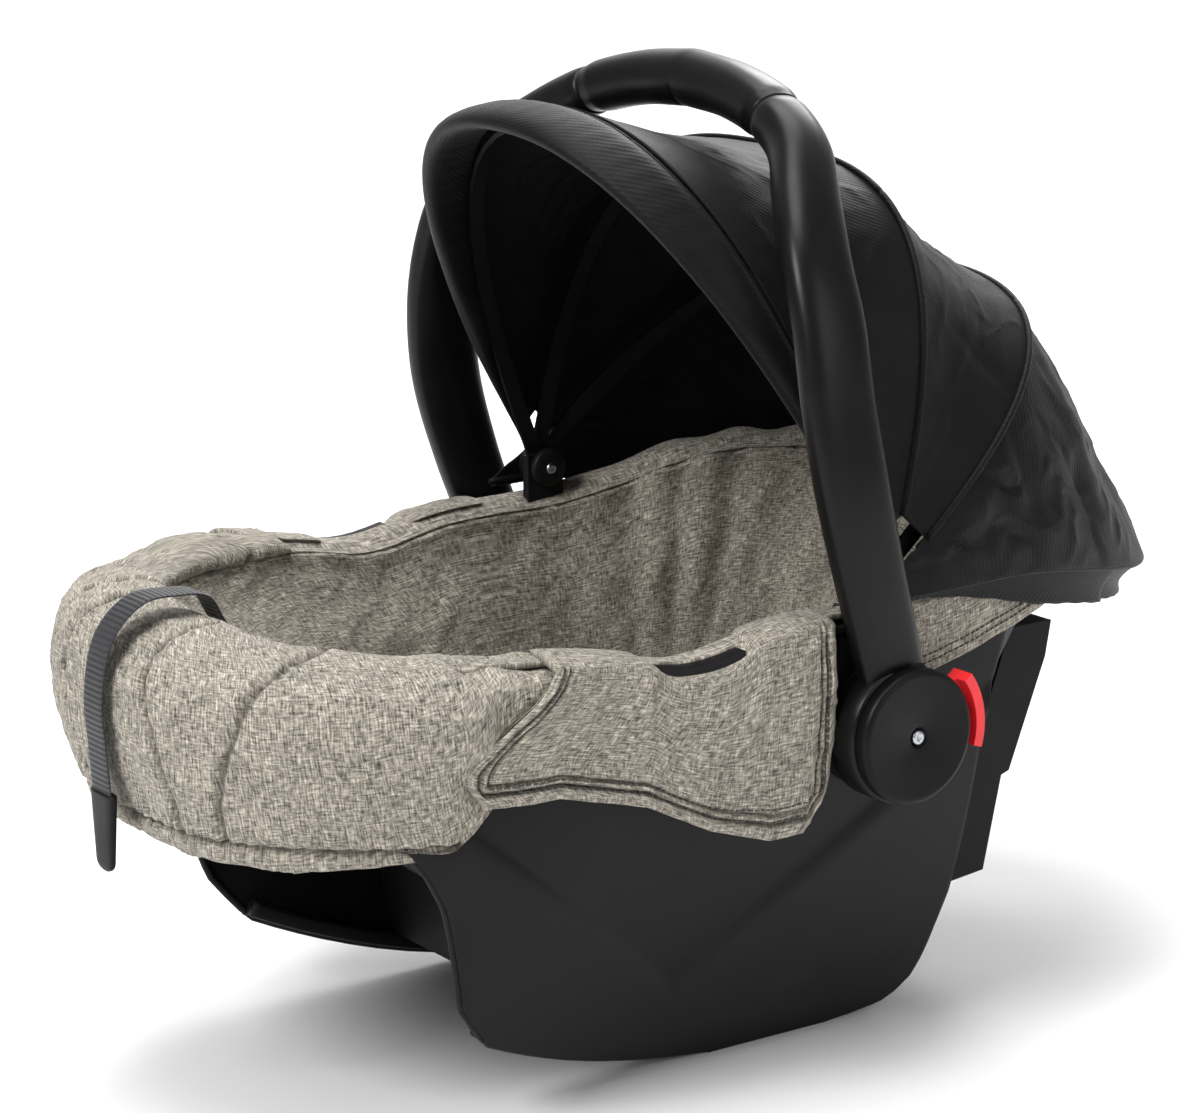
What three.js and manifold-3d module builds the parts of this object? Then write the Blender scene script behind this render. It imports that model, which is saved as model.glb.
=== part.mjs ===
// Infant car seat: rocking shell, carry handle on two hubs, folding canopy, padded cover and harness.
// Millimetres. X runs to the child's left, -Y to the feet, +Y to the head, +Z up, floor at Z = 0.
import * as THREE from 'three';
import { mergeVertices } from 'three/addons/utils/BufferGeometryUtils.js';
import Module from 'manifold-3d';

const wasm = await Module();
wasm.setup();

// ---- Driving dimensions -------------------------------------------------------------------
const footTip = -321;            // foot end of the shell's rim flange
const headTip = 300;             // head end of the shell's rim flange
const shellHalfWidth = 164;      // half width of the bucket under its flange
const bucketFloor = 46;          // height of the underside of the bucket
const rimLow = 264;              // height of the rim from the feet to the hub
const rimRise = 24;              // how much higher the rim stands at the head
const shellWall = 3.2;           // moulded wall of bucket and side panels
const flangeWidth = 18;          // how far the rim flange stands out
const planPower = 2.7;           // squareness of the bucket in plan
const fitGap = 0.4;              // clearance between touching pieces

const railInset = 57;            // how far the rails stand in from the bucket's sides
const panelLean = 0.386;         // sideways lean of the side panels, per mm of height
const rockerRadius = 490;        // radius of the rocker curve
const rockerCentre = 25;         // lengthwise centre of the rocker curve
const rockerFlat = [-22, 62];    // stretch of the rocker that is flat on the floor
const creasePoint = [-70, 60];   // point of the V-shaped crease in the side panels
const creaseDepth = 3.2;         // step across that crease
const ribThickness = 5;          // ribs across the underside

const hubY = 41;                 // handle axis, lengthwise
const hubZ = 204;                // handle axis, height
const hubRadius = 38.5;          // radius of the hub covers
const hubCoverDepth = 9;         // thickness of the hub covers
const housingDepth = 22;         // thickness of the hub housings behind them
const pivotBoltRadius = 5;       // bolts that the handle turns on
const buttonTravel = 4;          // travel of the red release buttons
const handleHeight = 343;        // grip centre above the handle axis
const gripHalfLength = 86;       // half length of the grip
const legWidth = 46;             // width of a leg, lengthwise
const legThickness = 23;         // thickness of a leg, sideways
const gripThickness = 32;        // diameter of the grip

const canopyPivotY = 48;         // canopy pivot, lengthwise
const canopyPivotRise = 25;      // canopy pivot above the low part of the rim
const canopyHeight = 284;        // height of the front arch above the canopy pivot
const fabricThickness = 2.6;     // canopy cloth with its lining
const rimThickness = 4.6;        // padded edge of the canopy
const bowWidth = 10;             // width of the flat canopy bows
const bowThickness = 2.6;        // thickness of the flat canopy bows
const pivotScrewRadius = 3;      // screws that the canopy bows turn on
const hemReach = 50;             // how far the canopy hem stands behind the shell

const beltSlot = [-113, -55];    // stretch of the side flap that is open for the lap belt
const rollEnd = -205;            // where the foot roll ends and the side flaps start
const linerInset = [16.5, 24];   // outer and inner face of the liner, inward from the bucket
const strapWidth = 38;           // harness webbing
const strapThickness = 2;
const adjusterStrapWidth = 20;   // pull strap at the foot end
const buckleTravel = 3;          // travel of the harness buckle's button

// ---- Sizes that follow from them -----------------------------------------------------------
const hubFace = shellHalfWidth + 52;                     // outer face of the hub covers
const railHalfGap = shellHalfWidth - railInset;          // half gap between the panels at the floor
const coverBack = hubFace - hubCoverDepth;               // back of the hub covers
const bossFace = coverBack - housingDepth - fitGap;      // face of the boss under each housing
const hubBossRadius = hubRadius - 1.5;                   // raised boss on each side panel
const housingRadius = hubRadius + 1.5;                   // hub housings on the handle
const housingInside = housingRadius - 13;                // hollow in each housing
const handleHalfWidth = coverBack - housingDepth / 2 + 5.5; // centre of the handle's legs
const canopyPivotZ = rimLow + canopyPivotRise;           // canopy pivot, height
const clipFace = shellHalfWidth;                         // outer face of the canopy clips
const hemRear = headTip + hemReach;                      // rearmost point of the canopy hem
const hemHalfWidth = shellHalfWidth + 25;                // half width of the canopy hem
const flapEnd = hubY - housingRadius - 2;                // side flaps stop just before the hubs
const shellMiddle = (footTip + headTip) / 2;             // middle of the rim, lengthwise
const shellHalfLength = (headTip - footTip) / 2;

// ---- Materials -----------------------------------------------------------------------------
function paint(hex, roughness, metalness = 0) {
  return new THREE.MeshStandardMaterial({ color: hex, roughness, metalness });
}
const blackPlastic = paint(0x1c1b1d, 0.55);
const innerPlastic = paint(0x2a2a2d, 0.6);
const blackCloth = paint(0x17161a, 0.9);
const greyCloth = paint(0x8f8a80, 0.95);
const foamMaterial = paint(0xe8e6e0, 0.9);
const webbing = paint(0x23232b, 0.8);
const redPlastic = paint(0xf0262d, 0.4);
const steel = paint(0xb8babd, 0.3, 1);

// ---- Small helpers -------------------------------------------------------------------------
const seat = new THREE.Group();
const V = (x, y, z) => new THREE.Vector3(x, y, z);
const mix = (a, b, t) => a + (b - a) * t;
const clamp = (t) => Math.min(1, Math.max(0, t));
const smooth = (t) => clamp(t) * clamp(t) * (3 - 2 * clamp(t));
const power = (c, n) => Math.sign(c) * Math.pow(Math.abs(c), 2 / n);

// Piecewise linear reading of a short list of [place, value] pairs.
function along(pairs, s) {
  if (s <= pairs[0][0]) return pairs[0][1];
  for (let i = 1; i < pairs.length; i += 1) {
    const [a, va] = pairs[i - 1];
    const [b, vb] = pairs[i];
    if (s <= b) return mix(va, vb, (s - a) / (b - a));
  }
  return pairs[pairs.length - 1][1];
}

function add(name, geometry, material) {
  const mesh = new THREE.Mesh(geometry, material);
  mesh.name = name;
  seat.add(mesh);
  return mesh;
}

// Closed geometry from points and triangles, with its faces turned outward.
function closedGeometry(points, faces) {
  let volume = 0;
  for (const [a, b, c] of faces) {
    volume += points[a].dot(new THREE.Vector3().crossVectors(points[b], points[c]));
  }
  const index = [];
  for (const [a, b, c] of faces) {
    if (volume > 0) index.push(a, b, c);
    else index.push(a, c, b);
  }
  const geometry = new THREE.BufferGeometry().setFromPoints(points);
  geometry.setIndex(index);
  return geometry;
}

// Solid through rings of equal length, closed by two poles.
function ringSolid(rings, firstPole, lastPole) {
  const count = rings[0].length;
  const points = [firstPole, ...rings.flat(), lastPole];
  const faces = [];
  const at = (r, i) => 1 + r * count + (i % count);
  for (let i = 0; i < count; i += 1) {
    faces.push([0, at(0, i + 1), at(0, i)]);
    for (let r = 0; r + 1 < rings.length; r += 1) {
      faces.push([at(r, i), at(r, i + 1), at(r + 1, i + 1)]);
      faces.push([at(r, i), at(r + 1, i + 1), at(r + 1, i)]);
    }
    faces.push([points.length - 1, at(rings.length - 1, i), at(rings.length - 1, i + 1)]);
  }
  return closedGeometry(points, faces);
}

// Solid that carries one flat outline through a row of places; place(i, x, y) gives the point.
function loft(outline, steps, place) {
  const count = outline.length;
  const points = [];
  for (let s = 0; s <= steps; s += 1) {
    for (const p of outline) points.push(place(s / steps, p.x, p.y));
  }
  const faces = [];
  for (let s = 0; s < steps; s += 1) {
    for (let i = 0; i < count; i += 1) {
      const a = s * count + i;
      const b = s * count + ((i + 1) % count);
      faces.push([a, b, b + count]);
      faces.push([a, b + count, a + count]);
    }
  }
  for (const [a, b, c] of THREE.ShapeUtils.triangulateShape(outline, [])) {
    faces.push([a, c, b]);
    faces.push([steps * count + a, steps * count + b, steps * count + c]);
  }
  return closedGeometry(points, faces);
}

// Curved plate between an outer and an inner surface, each a function of two parameters 0 to 1.
function plate(columns, rows, outer, inner) {
  const points = [];
  const at = (side, r, c) => (side * (rows + 1) + r) * (columns + 1) + c;
  for (const surface of [outer, inner]) {
    for (let r = 0; r <= rows; r += 1) {
      for (let c = 0; c <= columns; c += 1) points.push(surface(c / columns, r / rows));
    }
  }
  const faces = [];
  const quad = (a, b, c, d) => faces.push([a, b, c], [a, c, d]);
  for (let r = 0; r < rows; r += 1) {
    for (let c = 0; c < columns; c += 1) {
      quad(at(0, r, c), at(0, r, c + 1), at(0, r + 1, c + 1), at(0, r + 1, c));
      quad(at(1, r, c), at(1, r + 1, c), at(1, r + 1, c + 1), at(1, r, c + 1));
    }
    quad(at(0, r, 0), at(0, r + 1, 0), at(1, r + 1, 0), at(1, r, 0));
    quad(at(0, r, columns), at(1, r, columns), at(1, r + 1, columns), at(0, r + 1, columns));
  }
  for (let c = 0; c < columns; c += 1) {
    quad(at(0, 0, c), at(1, 0, c), at(1, 0, c + 1), at(0, 0, c + 1));
    quad(at(0, rows, c), at(0, rows, c + 1), at(1, rows, c + 1), at(1, rows, c));
  }
  return closedGeometry(points, faces);
}

function toSolid(geometry) {
  const bare = geometry.clone();
  bare.deleteAttribute('normal');
  bare.deleteAttribute('uv');
  const merged = mergeVertices(bare, 1e-4);
  return new wasm.Manifold(new wasm.Mesh({
    numProp: 3,
    vertProperties: new Float32Array(merged.attributes.position.array),
    triVerts: new Uint32Array(merged.index.array),
  }));
}

function fromSolid(solid) {
  const mesh = solid.getMesh();
  const geometry = new THREE.BufferGeometry();
  geometry.setAttribute('position', new THREE.BufferAttribute(mesh.vertProperties, 3));
  geometry.setIndex(new THREE.BufferAttribute(mesh.triVerts, 1));
  return geometry;
}

const cut = (body, ...tools) => fromSolid(tools.reduce((s, t) => s.subtract(toSolid(t)), toSolid(body)));
const join = (body, ...more) => fromSolid(more.reduce((s, t) => s.add(toSolid(t)), toSolid(body)));

function block(x0, x1, y0, y1, z0, z1) {
  const box = new THREE.BoxGeometry(x1 - x0, y1 - y0, z1 - z0);
  return box.translate((x0 + x1) / 2, (y0 + y1) / 2, (z0 + z1) / 2);
}

// Round piece about an axis along X, from a profile of [radius, x] pairs that starts and ends on it.
function turned(profile, y, z, segments = 40) {
  const lathe = new THREE.LatheGeometry(profile.map(([r, x]) => new THREE.Vector2(r, x)), segments);
  return lathe.rotateZ(-Math.PI / 2).translate(0, y, z);
}

function disc(radius, x0, x1, y = hubY, z = hubZ, segments = 40) {
  return turned([[0, x0], [radius, x0], [radius, x1], [0, x1]], y, z, segments);
}

// The same piece on the other side.
function mirrored(geometry) {
  const other = geometry.index ? geometry.toNonIndexed() : geometry.clone();
  const p = other.attributes.position.array;
  for (let i = 0; i < p.length; i += 9) {
    for (let k = 0; k < 9; k += 3) p[i + k] = -p[i + k];
    for (let k = 0; k < 3; k += 1) [p[i + 3 + k], p[i + 6 + k]] = [p[i + 6 + k], p[i + 3 + k]];
  }
  other.deleteAttribute('normal');
  if (other.attributes.uv) other.deleteAttribute('uv');
  return mergeVertices(other, 1e-4);
}

function addPair(name, geometry, material) {
  add(`${name}_left`, geometry, material);
  add(`${name}_right`, mirrored(geometry), material);
}

// ---- Shell surfaces ------------------------------------------------------------------------
// Height of the rim: lower at the belt slot, higher from the hub to the head.
function rimHeight(y) {
  const middle = (beltSlot[0] + beltSlot[1]) / 2;
  const dip = Math.exp(-(((y - middle) / 42) ** 2));
  return rimLow + rimRise * smooth((y - 40) / 150) - 11 * dip;
}

// Outer surface of the bucket: angle a in plan, t from the floor (0) to the rim (1).
function bucket(a, t, inset = 0) {
  const side = Math.sin(t * Math.PI / 2);
  const halfWidth = mix(62, shellHalfWidth, side ** 0.95) - inset;
  const middle = mix(26, shellMiddle, t);
  const foot = mix(70, middle - footTip - flangeWidth, t ** 0.92) - inset;
  const head = mix(92, headTip - flangeWidth - middle, t ** 0.86) - inset;
  const s = power(Math.sin(a), planPower);
  const y = middle + (s < 0 ? foot : head) * s;
  const x = halfWidth * power(Math.cos(a), planPower);
  const top = rimHeight(y);
  return V(x, y, mix(bucketFloor + inset * 0.8, top, t ** 1.25));
}

// Plan angle at a share of a full turn, spaced so that the corners and the sides are equally fine.
function ringAngle(share) {
  const turn = mix(-Math.PI, Math.PI, share);
  const c = power(Math.cos(turn), 4 / planPower);
  const s = power(Math.sin(turn), 4 / planPower);
  return Math.atan2(s, c);
}

// Ring of points round the bucket at one level, moved out along the flange and up.
function bucketRing(t, inset = 0, out = 0, up = 0) {
  const ring = [];
  for (let i = 0; i < ringPoints; i += 1) {
    const a = ringAngle(i / ringPoints);
    const p = bucket(a, t, inset);
    p.x += out * power(Math.cos(a), planPower);
    p.y += out * power(Math.sin(a), planPower);
    p.z += up;
    ring.push(p);
  }
  return ring;
}

const ringPoints = 60;
const bucketLevels = [0.06, 0.18, 0.32, 0.48, 0.64, 0.8, 0.93];

function bucketShell() {
  const outer = bucketLevels.map((t) => bucketRing(t));
  const flange = [
    bucketRing(1, 0, 0, -shellWall),
    bucketRing(1, 0, flangeWidth, -shellWall),
    bucketRing(1, 0, flangeWidth, 0),
    bucketRing(1, shellWall, 0, 0),
  ];
  const inner = bucketLevels.slice().reverse().map((t) => bucketRing(t, shellWall));
  const floorOut = V(0, 26, bucketFloor);
  const floorIn = V(0, 26, bucketFloor + shellWall);
  return ringSolid([...outer, ...flange, ...inner], floorOut, floorIn);
}

// Bowl-shaped layer inside the bucket, between two insets, up to level t.
function bowlLayer(insetOut, insetIn, tTop) {
  const levels = [0.1, 0.35, 0.6, 0.8, 1].map((k) => k * tTop);
  const outer = levels.map((t) => bucketRing(t, insetOut));
  const inner = levels.slice().reverse().map((t) => bucketRing(t, insetIn));
  const low = V(0, 26, bucketFloor + insetOut * 0.8);
  const high = V(0, 26, bucketFloor + insetIn * 0.8);
  return ringSolid([...outer, ...inner], low, high);
}

// ---- Side panels with rocker rails ---------------------------------------------------------
const panelTop = (y) => rimHeight(y) - shellWall - 2;

// Height and distance from the foot tip of the panel's front edge, above the rocker.
const frontEdge = [[52, 130], [64, 120], [76, 111], [105, 103], [140, 94], [160, 84], [178, 71],
  [190, 65], [206, 85], [232, 131], [262, 171]];

// Height and distance from the head tip of the panel's rear edge, above the rocker.
const rearEdge = [[6, 197], [12, 188], [22, 181], [46, 177], [80, 173], [150, 176], [186, 176],
  [206, 168], [236, 158], [262, 150]];

// Half length of the rocker at a height, from its radius.
const rockerReach = (z) => Math.sqrt(rockerRadius ** 2 - (rockerRadius - z) ** 2);

function panelFront(z) {
  if (z < 0.5) return rockerFlat[0];
  if (z < frontEdge[0][0]) return Math.min(rockerFlat[0], rockerCentre - rockerReach(z));
  return footTip + along(frontEdge, z);
}

function panelRear(z) {
  if (z < 0.5) return rockerFlat[1];
  if (z < rearEdge[0][0]) return Math.max(rockerFlat[1], rockerCentre + rockerReach(z));
  return headTip - along(rearEdge, z);
}

// Shallow V-shaped crease pressed into the panel, with its point low at the front.
function crease(y, z) {
  const [pointY, pointZ] = creasePoint;
  const line = pointZ + (y > pointY ? (y - pointY) * 0.72 : (pointY - y) * 0.82);
  return creaseDepth * smooth((line - z) / 26 + 0.5);
}

// Half width of the rim flange at a place along the seat.
function planHalfWidth(y) {
  const share = clamp(Math.abs(y - shellMiddle) / shellHalfLength);
  return (shellHalfWidth + flangeWidth) * (1 - share ** planPower) ** (1 / planPower);
}

function panelX(y, z) {
  const lean = railHalfGap + panelLean * z;
  const upright = planHalfWidth(y) - 3;
  const blend = 12;
  const soft = -blend * Math.log(Math.exp(-lean / blend) + Math.exp(-upright / blend));
  return soft - 1.5 + crease(y, z) * smooth(z / 40);
}

function sidePanel() {
  const heights = [0, 2, 6, 14, 26, 40, 52, 68, 92, 120, 150, 178, 190, 206, 232, 262];
  const rowHeight = (v) => heights[Math.round(v * (heights.length - 1))];
  const spot = (u, v) => {
    const z = rowHeight(v);
    const y = mix(panelFront(z), panelRear(z), u);
    return [y, Math.min(z, panelTop(y))];
  };
  const outer = (u, v) => {
    const [y, z] = spot(u, v);
    return V(panelX(y, z), y, z);
  };
  const inner = (u, v) => {
    const [y, z] = spot(u, v);
    const rail = 9 * (1 - smooth(z / 12));
    return V(panelX(y, z) - shellWall - rail, y, z);
  };
  const boss = disc(hubBossRadius, panelX(hubY, hubZ) - shellWall, bossFace);
  const bolt = disc(pivotBoltRadius + fitGap, bossFace - 40, hubFace, hubY, hubZ, 24);
  return cut(join(plate(12, heights.length - 1, outer, inner), boss), bolt);
}

// ---- Underside, rear guide and trim --------------------------------------------------------
// Full bucket shape, grown by a clearance, used to cut what lies against its outside.
function bucketBlank(grow) {
  const rings = [...bucketLevels, 1].map((t) => bucketRing(t, -grow));
  return ringSolid(rings, V(0, 26, bucketFloor - grow), V(0, 0, 400));
}

// Rib across the underside between the two side panels.
function crossRib(y, low, high) {
  const shape = new THREE.Shape();
  const half = (z) => panelX(y, z) - shellWall - 4;
  const levels = [low, mix(low, high, 0.35), mix(low, high, 0.7), high];
  shape.moveTo(-half(low), low);
  for (const z of levels) shape.lineTo(half(z), z);
  for (const z of levels.slice().reverse()) shape.lineTo(-half(z), z);
  const rib = new THREE.ExtrudeGeometry(shape, { depth: ribThickness, bevelEnabled: false });
  rib.rotateX(Math.PI / 2).translate(0, y + ribThickness / 2, 0);
  return cut(rib, bucketBlank(fitGap));
}

// Leaning guide panel behind the head end, with a stepped back.
function rearGuide() {
  const half = 88;
  const outline = [[-136, 58], [-98, 62], [-85, 120], [-79, 122], [-52, 190], [-48, 212], [-81, 212]];
  const shape = new THREE.Shape(outline.map(([y, z]) => new THREE.Vector2(headTip + y, z)));
  return cut(sideways(shape, -half, half), bucketBlank(fitGap));
}

// ---- Soft pieces on the rim ----------------------------------------------------------------
// Point beside the rim: out from the flange edge and up from the flange, at an angle in plan.
function rimPoint(a, out, up) {
  const p = bucket(a, 1);
  const c = power(Math.cos(a), planPower);
  const s = power(Math.sin(a), planPower);
  const nx = Math.sign(c) * Math.abs(c) ** (planPower - 1) / shellHalfWidth;
  const ny = Math.sign(s) * Math.abs(s) ** (planPower - 1) / shellHalfLength;
  const size = Math.hypot(nx, ny);
  p.x += flangeWidth * c + (nx / size) * out;
  p.y += flangeWidth * s + (ny / size) * out;
  p.z += up;
  return p;
}

// Angle in plan at which the left side of the rim reaches a place along the seat.
function rimAngleAt(y) {
  const share = (y - shellMiddle) / shellHalfLength;
  return Math.asin(Math.sign(share) * Math.abs(share) ** (planPower / 2));
}

const pair = ([x, y]) => new THREE.Vector2(x, y);

// Padded roll around the foot end, thick at the toes and slimmer where it meets the side flaps.
function footRoll() {
  const section = [[-30, 1.2], [-32, 10], [-16, 22], [4, 20], [20, 4], [26, -24], [22, -60],
    [6, -98], [-10, -108], [-15, -100], [-3, -84], [6, -56], [4, -20], [1.2, -8], [1.2, 1.2]];
  const start = rimAngleAt(rollEnd);
  const end = -Math.PI - start;
  return loft(section.map(pair).reverse(), 24, (k, o, z) => {
    const side = 1 - Math.sin(k * Math.PI);
    const slim = mix(1, 0.35, side ** 1.5);
    const out = o > 1.2 ? mix(1.2, o, slim) : mix(o, Math.max(o, z > 0 ? o : 1.2), smooth(side * 1.6));
    const drop = z < 0 ? mix(1, 0.72, side ** 1.2) : 1;
    return rimPoint(mix(start, end, k), out, z * drop);
  });
}

// Side flap hooked over the rim, with its lower edge swept up to the hub.
function sideFlap() {
  const hem = [[-205, 190], [-139, 195], [-99, 182], [-67, 163], [-35, 150], [-11, 153],
    [-1, 172], [1, 205]];
  const section = [[-20, 2], [-20, 7], [2, 8], [5.5, 2], [6, -20], [5.5, -100], [1.2, -100], [1.2, 2]];
  const start = rimAngleAt(rollEnd + 1.2);
  const end = rimAngleAt(flapEnd);
  const flap = loft(section.map(pair).reverse(), 18, (k, o, z) => {
    const a = mix(start, end, k);
    const p = rimPoint(a, 0, 0);
    const drop = (p.z - along(hem, p.y - flapEnd)) / 100;
    return rimPoint(a, o, z < -50 ? z * drop : z);
  });
  const level = rimHeight(beltSlot[0]);
  const slot = block(shellHalfWidth - 6, shellHalfWidth + 36, ...beltSlot, level - 30, level + 30);
  return cut(flap, slot);
}

// Cover along the rear rim, folded over the flange and down its outside.
function headCover() {
  const section = [[-14, 1.2], [-14, 3.6], [2, 3.8], [3.4, 1], [3.4, -34], [1.2, -34], [1.2, 1.2]];
  const start = rimAngleAt(hubY + hubBossRadius - 4);
  return loft(section.map(pair).reverse(), 26, (k, o, z) => {
    const a = mix(start, Math.PI - start, k);
    const p = rimPoint(a, 0, 0);
    return rimPoint(a, o, z < -10 ? z * mix(1, 0.7, smooth((p.y - 150) / 120)) : z);
  });
}

// Black guide for the car's lap belt, seated in the slot of each side flap.
function beltGuide() {
  const section = [[-16, 2.4], [-16, 5.2], [4.6, 5.2], [4.6, -16], [1.8, -16], [1.8, 2.4]];
  const start = rimAngleAt(beltSlot[0] + 2);
  const end = rimAngleAt(beltSlot[1] - 2);
  return loft(section.map(pair).reverse(), 6, (k, o, z) => rimPoint(mix(start, end, k), o, z));
}

// ---- Harness -------------------------------------------------------------------------------
// Point on the bowl at a distance x from the centre plane, on the head (1) or foot (-1) side.
function bowlPoint(x, t, inset, end) {
  const halfWidth = bucket(0, t, inset).x;
  const a = Math.acos((Math.abs(x) / halfWidth) ** (planPower / 2)) * end;
  const p = bucket(a, t, inset);
  return V(x, p.y, p.z);
}

// Flat band along a curve, its width along X.
function band(points, width, thickness, steps) {
  const curve = new THREE.CatmullRomCurve3(points);
  const outline = [[-0.5, -0.5], [0.5, -0.5], [0.5, 0.5], [-0.5, 0.5]].map(pair);
  return loft(outline, steps, (k, x, y) => {
    const p = curve.getPoint(k);
    const t = curve.getTangent(k);
    const up = new THREE.Vector3().crossVectors(V(1, 0, 0), t).normalize();
    return p.add(V(x * width, 0, 0)).addScaledVector(up, y * thickness);
  });
}

const harnessInset = linerInset[1] + 11;
const buckleFloor = bucketFloor + 0.8 * linerInset[1] + 7.8; // underside of the buckle
const buckleHeight = 18;
const buckleRear = 58;

function shoulderStrap() {
  const rise = [0.66, 0.5, 0.36, 0.22, 0.12].map((t) => bowlPoint(34, t, harnessInset, 1));
  const level = buckleFloor + buckleHeight / 2;
  const bend = V(30, rise[rise.length - 1].y - 5.4, level);
  return band([...rise, bend, V(27, buckleRear + 4, level)], strapWidth, strapThickness, 16);
}

function shoulderPad() {
  const path = [0.6, 0.5, 0.4, 0.3].map((t) => bowlPoint(34, t, harnessInset + 6, 1));
  return band(path, strapWidth + 12, 6, 8);
}

function adjusterStrap() {
  const o = (out, up) => rimPoint(-Math.PI / 2, out, up);
  const path = [bowlPoint(0, 0.95, 30, -1), o(-44, 10), o(-34, 25), o(-16, 26.5),
    o(6, 24.5), o(25, 6), o(31, -24), o(29, -52), o(28, -76)];
  return band(path, adjusterStrapWidth, 1.6, 20);
}

// ---- Handle --------------------------------------------------------------------------------
// Left half of the handle's centre line, from the hub to the grip, relative to the handle axis.
const handleLine = new THREE.CatmullRomCurve3([
  V(handleHalfWidth - 6, 0, 0.047 * handleHeight),
  V(handleHalfWidth - 4.5, -9, 0.134 * handleHeight),
  V(handleHalfWidth - 1, -24, 0.262 * handleHeight),
  V(handleHalfWidth, -38, 0.408 * handleHeight),
  V(handleHalfWidth - 5, -45, 0.548 * handleHeight),
  V(handleHalfWidth - 14, -45, 0.665 * handleHeight),
  V(handleHalfWidth - 30, -42, 0.764 * handleHeight),
  V(handleHalfWidth - 54, -30, 0.848 * handleHeight),
  V(gripHalfLength + 33, -13, 0.915 * handleHeight),
  V(gripHalfLength, -4, 0.959 * handleHeight),
  V(gripHalfLength / 2, 1, 0.988 * handleHeight),
  V(0, 2, handleHeight),
]);
const seamPlace = 0.808;         // share of that line where the grip starts

function handleSection(k) {
  return {
    wide: along([[0, 40], [0.12, 42], [0.3, legWidth], [0.5, 44], [0.75, 35], [1, gripThickness]], k) / 2,
    thick: along([[0, 20], [0.2, 21], [0.4, legThickness], [0.75, 29], [1, gripThickness]], k) / 2,
  };
}

function handlePoint(k, x, y) {
  const place = clamp(k);
  const p = handleLine.getPointAt(place);
  const t = handleLine.getTangentAt(place);
  const ahead = V(0, 1, 0).addScaledVector(t, -t.y).normalize();
  const outward = new THREE.Vector3().crossVectors(ahead, t);
  const { wide, thick } = handleSection(place);
  p.addScaledVector(ahead, x * wide);
  p.addScaledVector(outward, y * thick);
  return p.add(V(0, hubY, hubZ));
}

function roundOutline(sides, squareness) {
  const outline = [];
  for (let i = 0; i < sides; i += 1) {
    const a = (2 * Math.PI * i) / sides;
    outline.push(new THREE.Vector2(power(Math.cos(a), squareness), power(Math.sin(a), squareness)));
  }
  return outline;
}

// Flat shape with its width along Y and its height along Z, given a thickness from x0 to x1.
function sideways(shape, x0, x1) {
  const options = { depth: x1 - x0, bevelEnabled: false, curveSegments: 12 };
  const body = new THREE.ExtrudeGeometry(shape, options);
  body.applyMatrix4(new THREE.Matrix4().makeBasis(V(0, 1, 0), V(0, 0, 1), V(1, 0, 0)));
  return body.translate(x0, 0, 0);
}

// Sector of a ring about the handle axis, from one radius and angle to another.
function ringSector(r0, r1, from, to, x0, x1) {
  const shape = new THREE.Shape();
  shape.absarc(0, 0, r1, from, to, false);
  shape.absarc(0, 0, r0, to, from, true);
  return sideways(shape, x0, x1).translate(0, hubY, hubZ);
}

const buttonMiddle = 11 * Math.PI / 180;
const buttonHalfAngle = 27 * Math.PI / 180;
const buttonDepth = 8;
const buttonOuter = housingRadius + 4;
const buttonInner = buttonOuter - 11;

function handleArm() {
  const leg = loft(roundOutline(14, 2.6), 20, (k, x, y) => handlePoint(k * seamPlace, x, y));
  const housing = disc(housingRadius, bossFace + fitGap, coverBack - fitGap);
  const hollow = disc(housingInside, bossFace - 30, coverBack - 5.5);
  const coverRoom = disc(hubRadius + 1, coverBack - fitGap, hubFace + 20);
  const bolt = disc(pivotBoltRadius + fitGap, bossFace - 30, hubFace + 20, hubY, hubZ, 24);
  const room = (buttonTravel * Math.sin(buttonHalfAngle) + 3 * fitGap) / housingRadius;
  const pocket = ringSector(buttonInner - buttonTravel - fitGap, buttonOuter + 20,
    buttonMiddle - buttonHalfAngle - room, buttonMiddle + buttonHalfAngle + room,
    coverBack - buttonDepth - 1, hubFace + 20);
  return cut(join(leg, housing), hollow, coverRoom, bolt, pocket);
}

function releaseButton() {
  const from = buttonMiddle - buttonHalfAngle;
  const to = buttonMiddle + buttonHalfAngle;
  const back = coverBack - buttonDepth - fitGap;
  const base = ringSector(buttonInner, buttonOuter, from, to, back, coverBack - 2 * fitGap);
  const lip = ringSector(buttonOuter - 1, buttonOuter + 5, from, to, back, hubFace - 2);
  return join(base, lip);
}

function grip() {
  const seam = 0.0015;
  return loft(roundOutline(14, 2.2), 16, (k, x, y) => {
    const side = k < 0.5 ? 1 : -1;
    const place = 1 - (1 - seamPlace - seam) * Math.abs(1 - 2 * k);
    const sleeve = 1 + 0.04 * smooth((1 - Math.abs(1 - 2 * k)) * 14);
    const p = handlePoint(place, x * sleeve, y * sleeve);
    p.x *= side;
    return p;
  });
}

// Flat toothed disc with a round hole, about the handle axis.
function toothedDisc(radius, depth, teeth, hole, x0, x1) {
  const shape = new THREE.Shape();
  for (let i = 0; i < teeth * 4; i += 1) {
    const a = (2 * Math.PI * i) / (teeth * 4);
    const r = i % 4 < 2 ? radius : radius - depth;
    if (i) shape.lineTo(r * Math.cos(a), r * Math.sin(a));
    else shape.moveTo(r, 0);
  }
  shape.holes.push(new THREE.Path().absarc(0, 0, hole, 0, 2 * Math.PI, true));
  return sideways(shape, x0, x1).translate(0, hubY, hubZ);
}

function ring(inner, outer, x0, x1, y, z, segments = 20) {
  return turned([[inner, x0], [outer, x0], [outer, x1], [inner, x1], [inner, x0]], y, z, segments);
}

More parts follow.
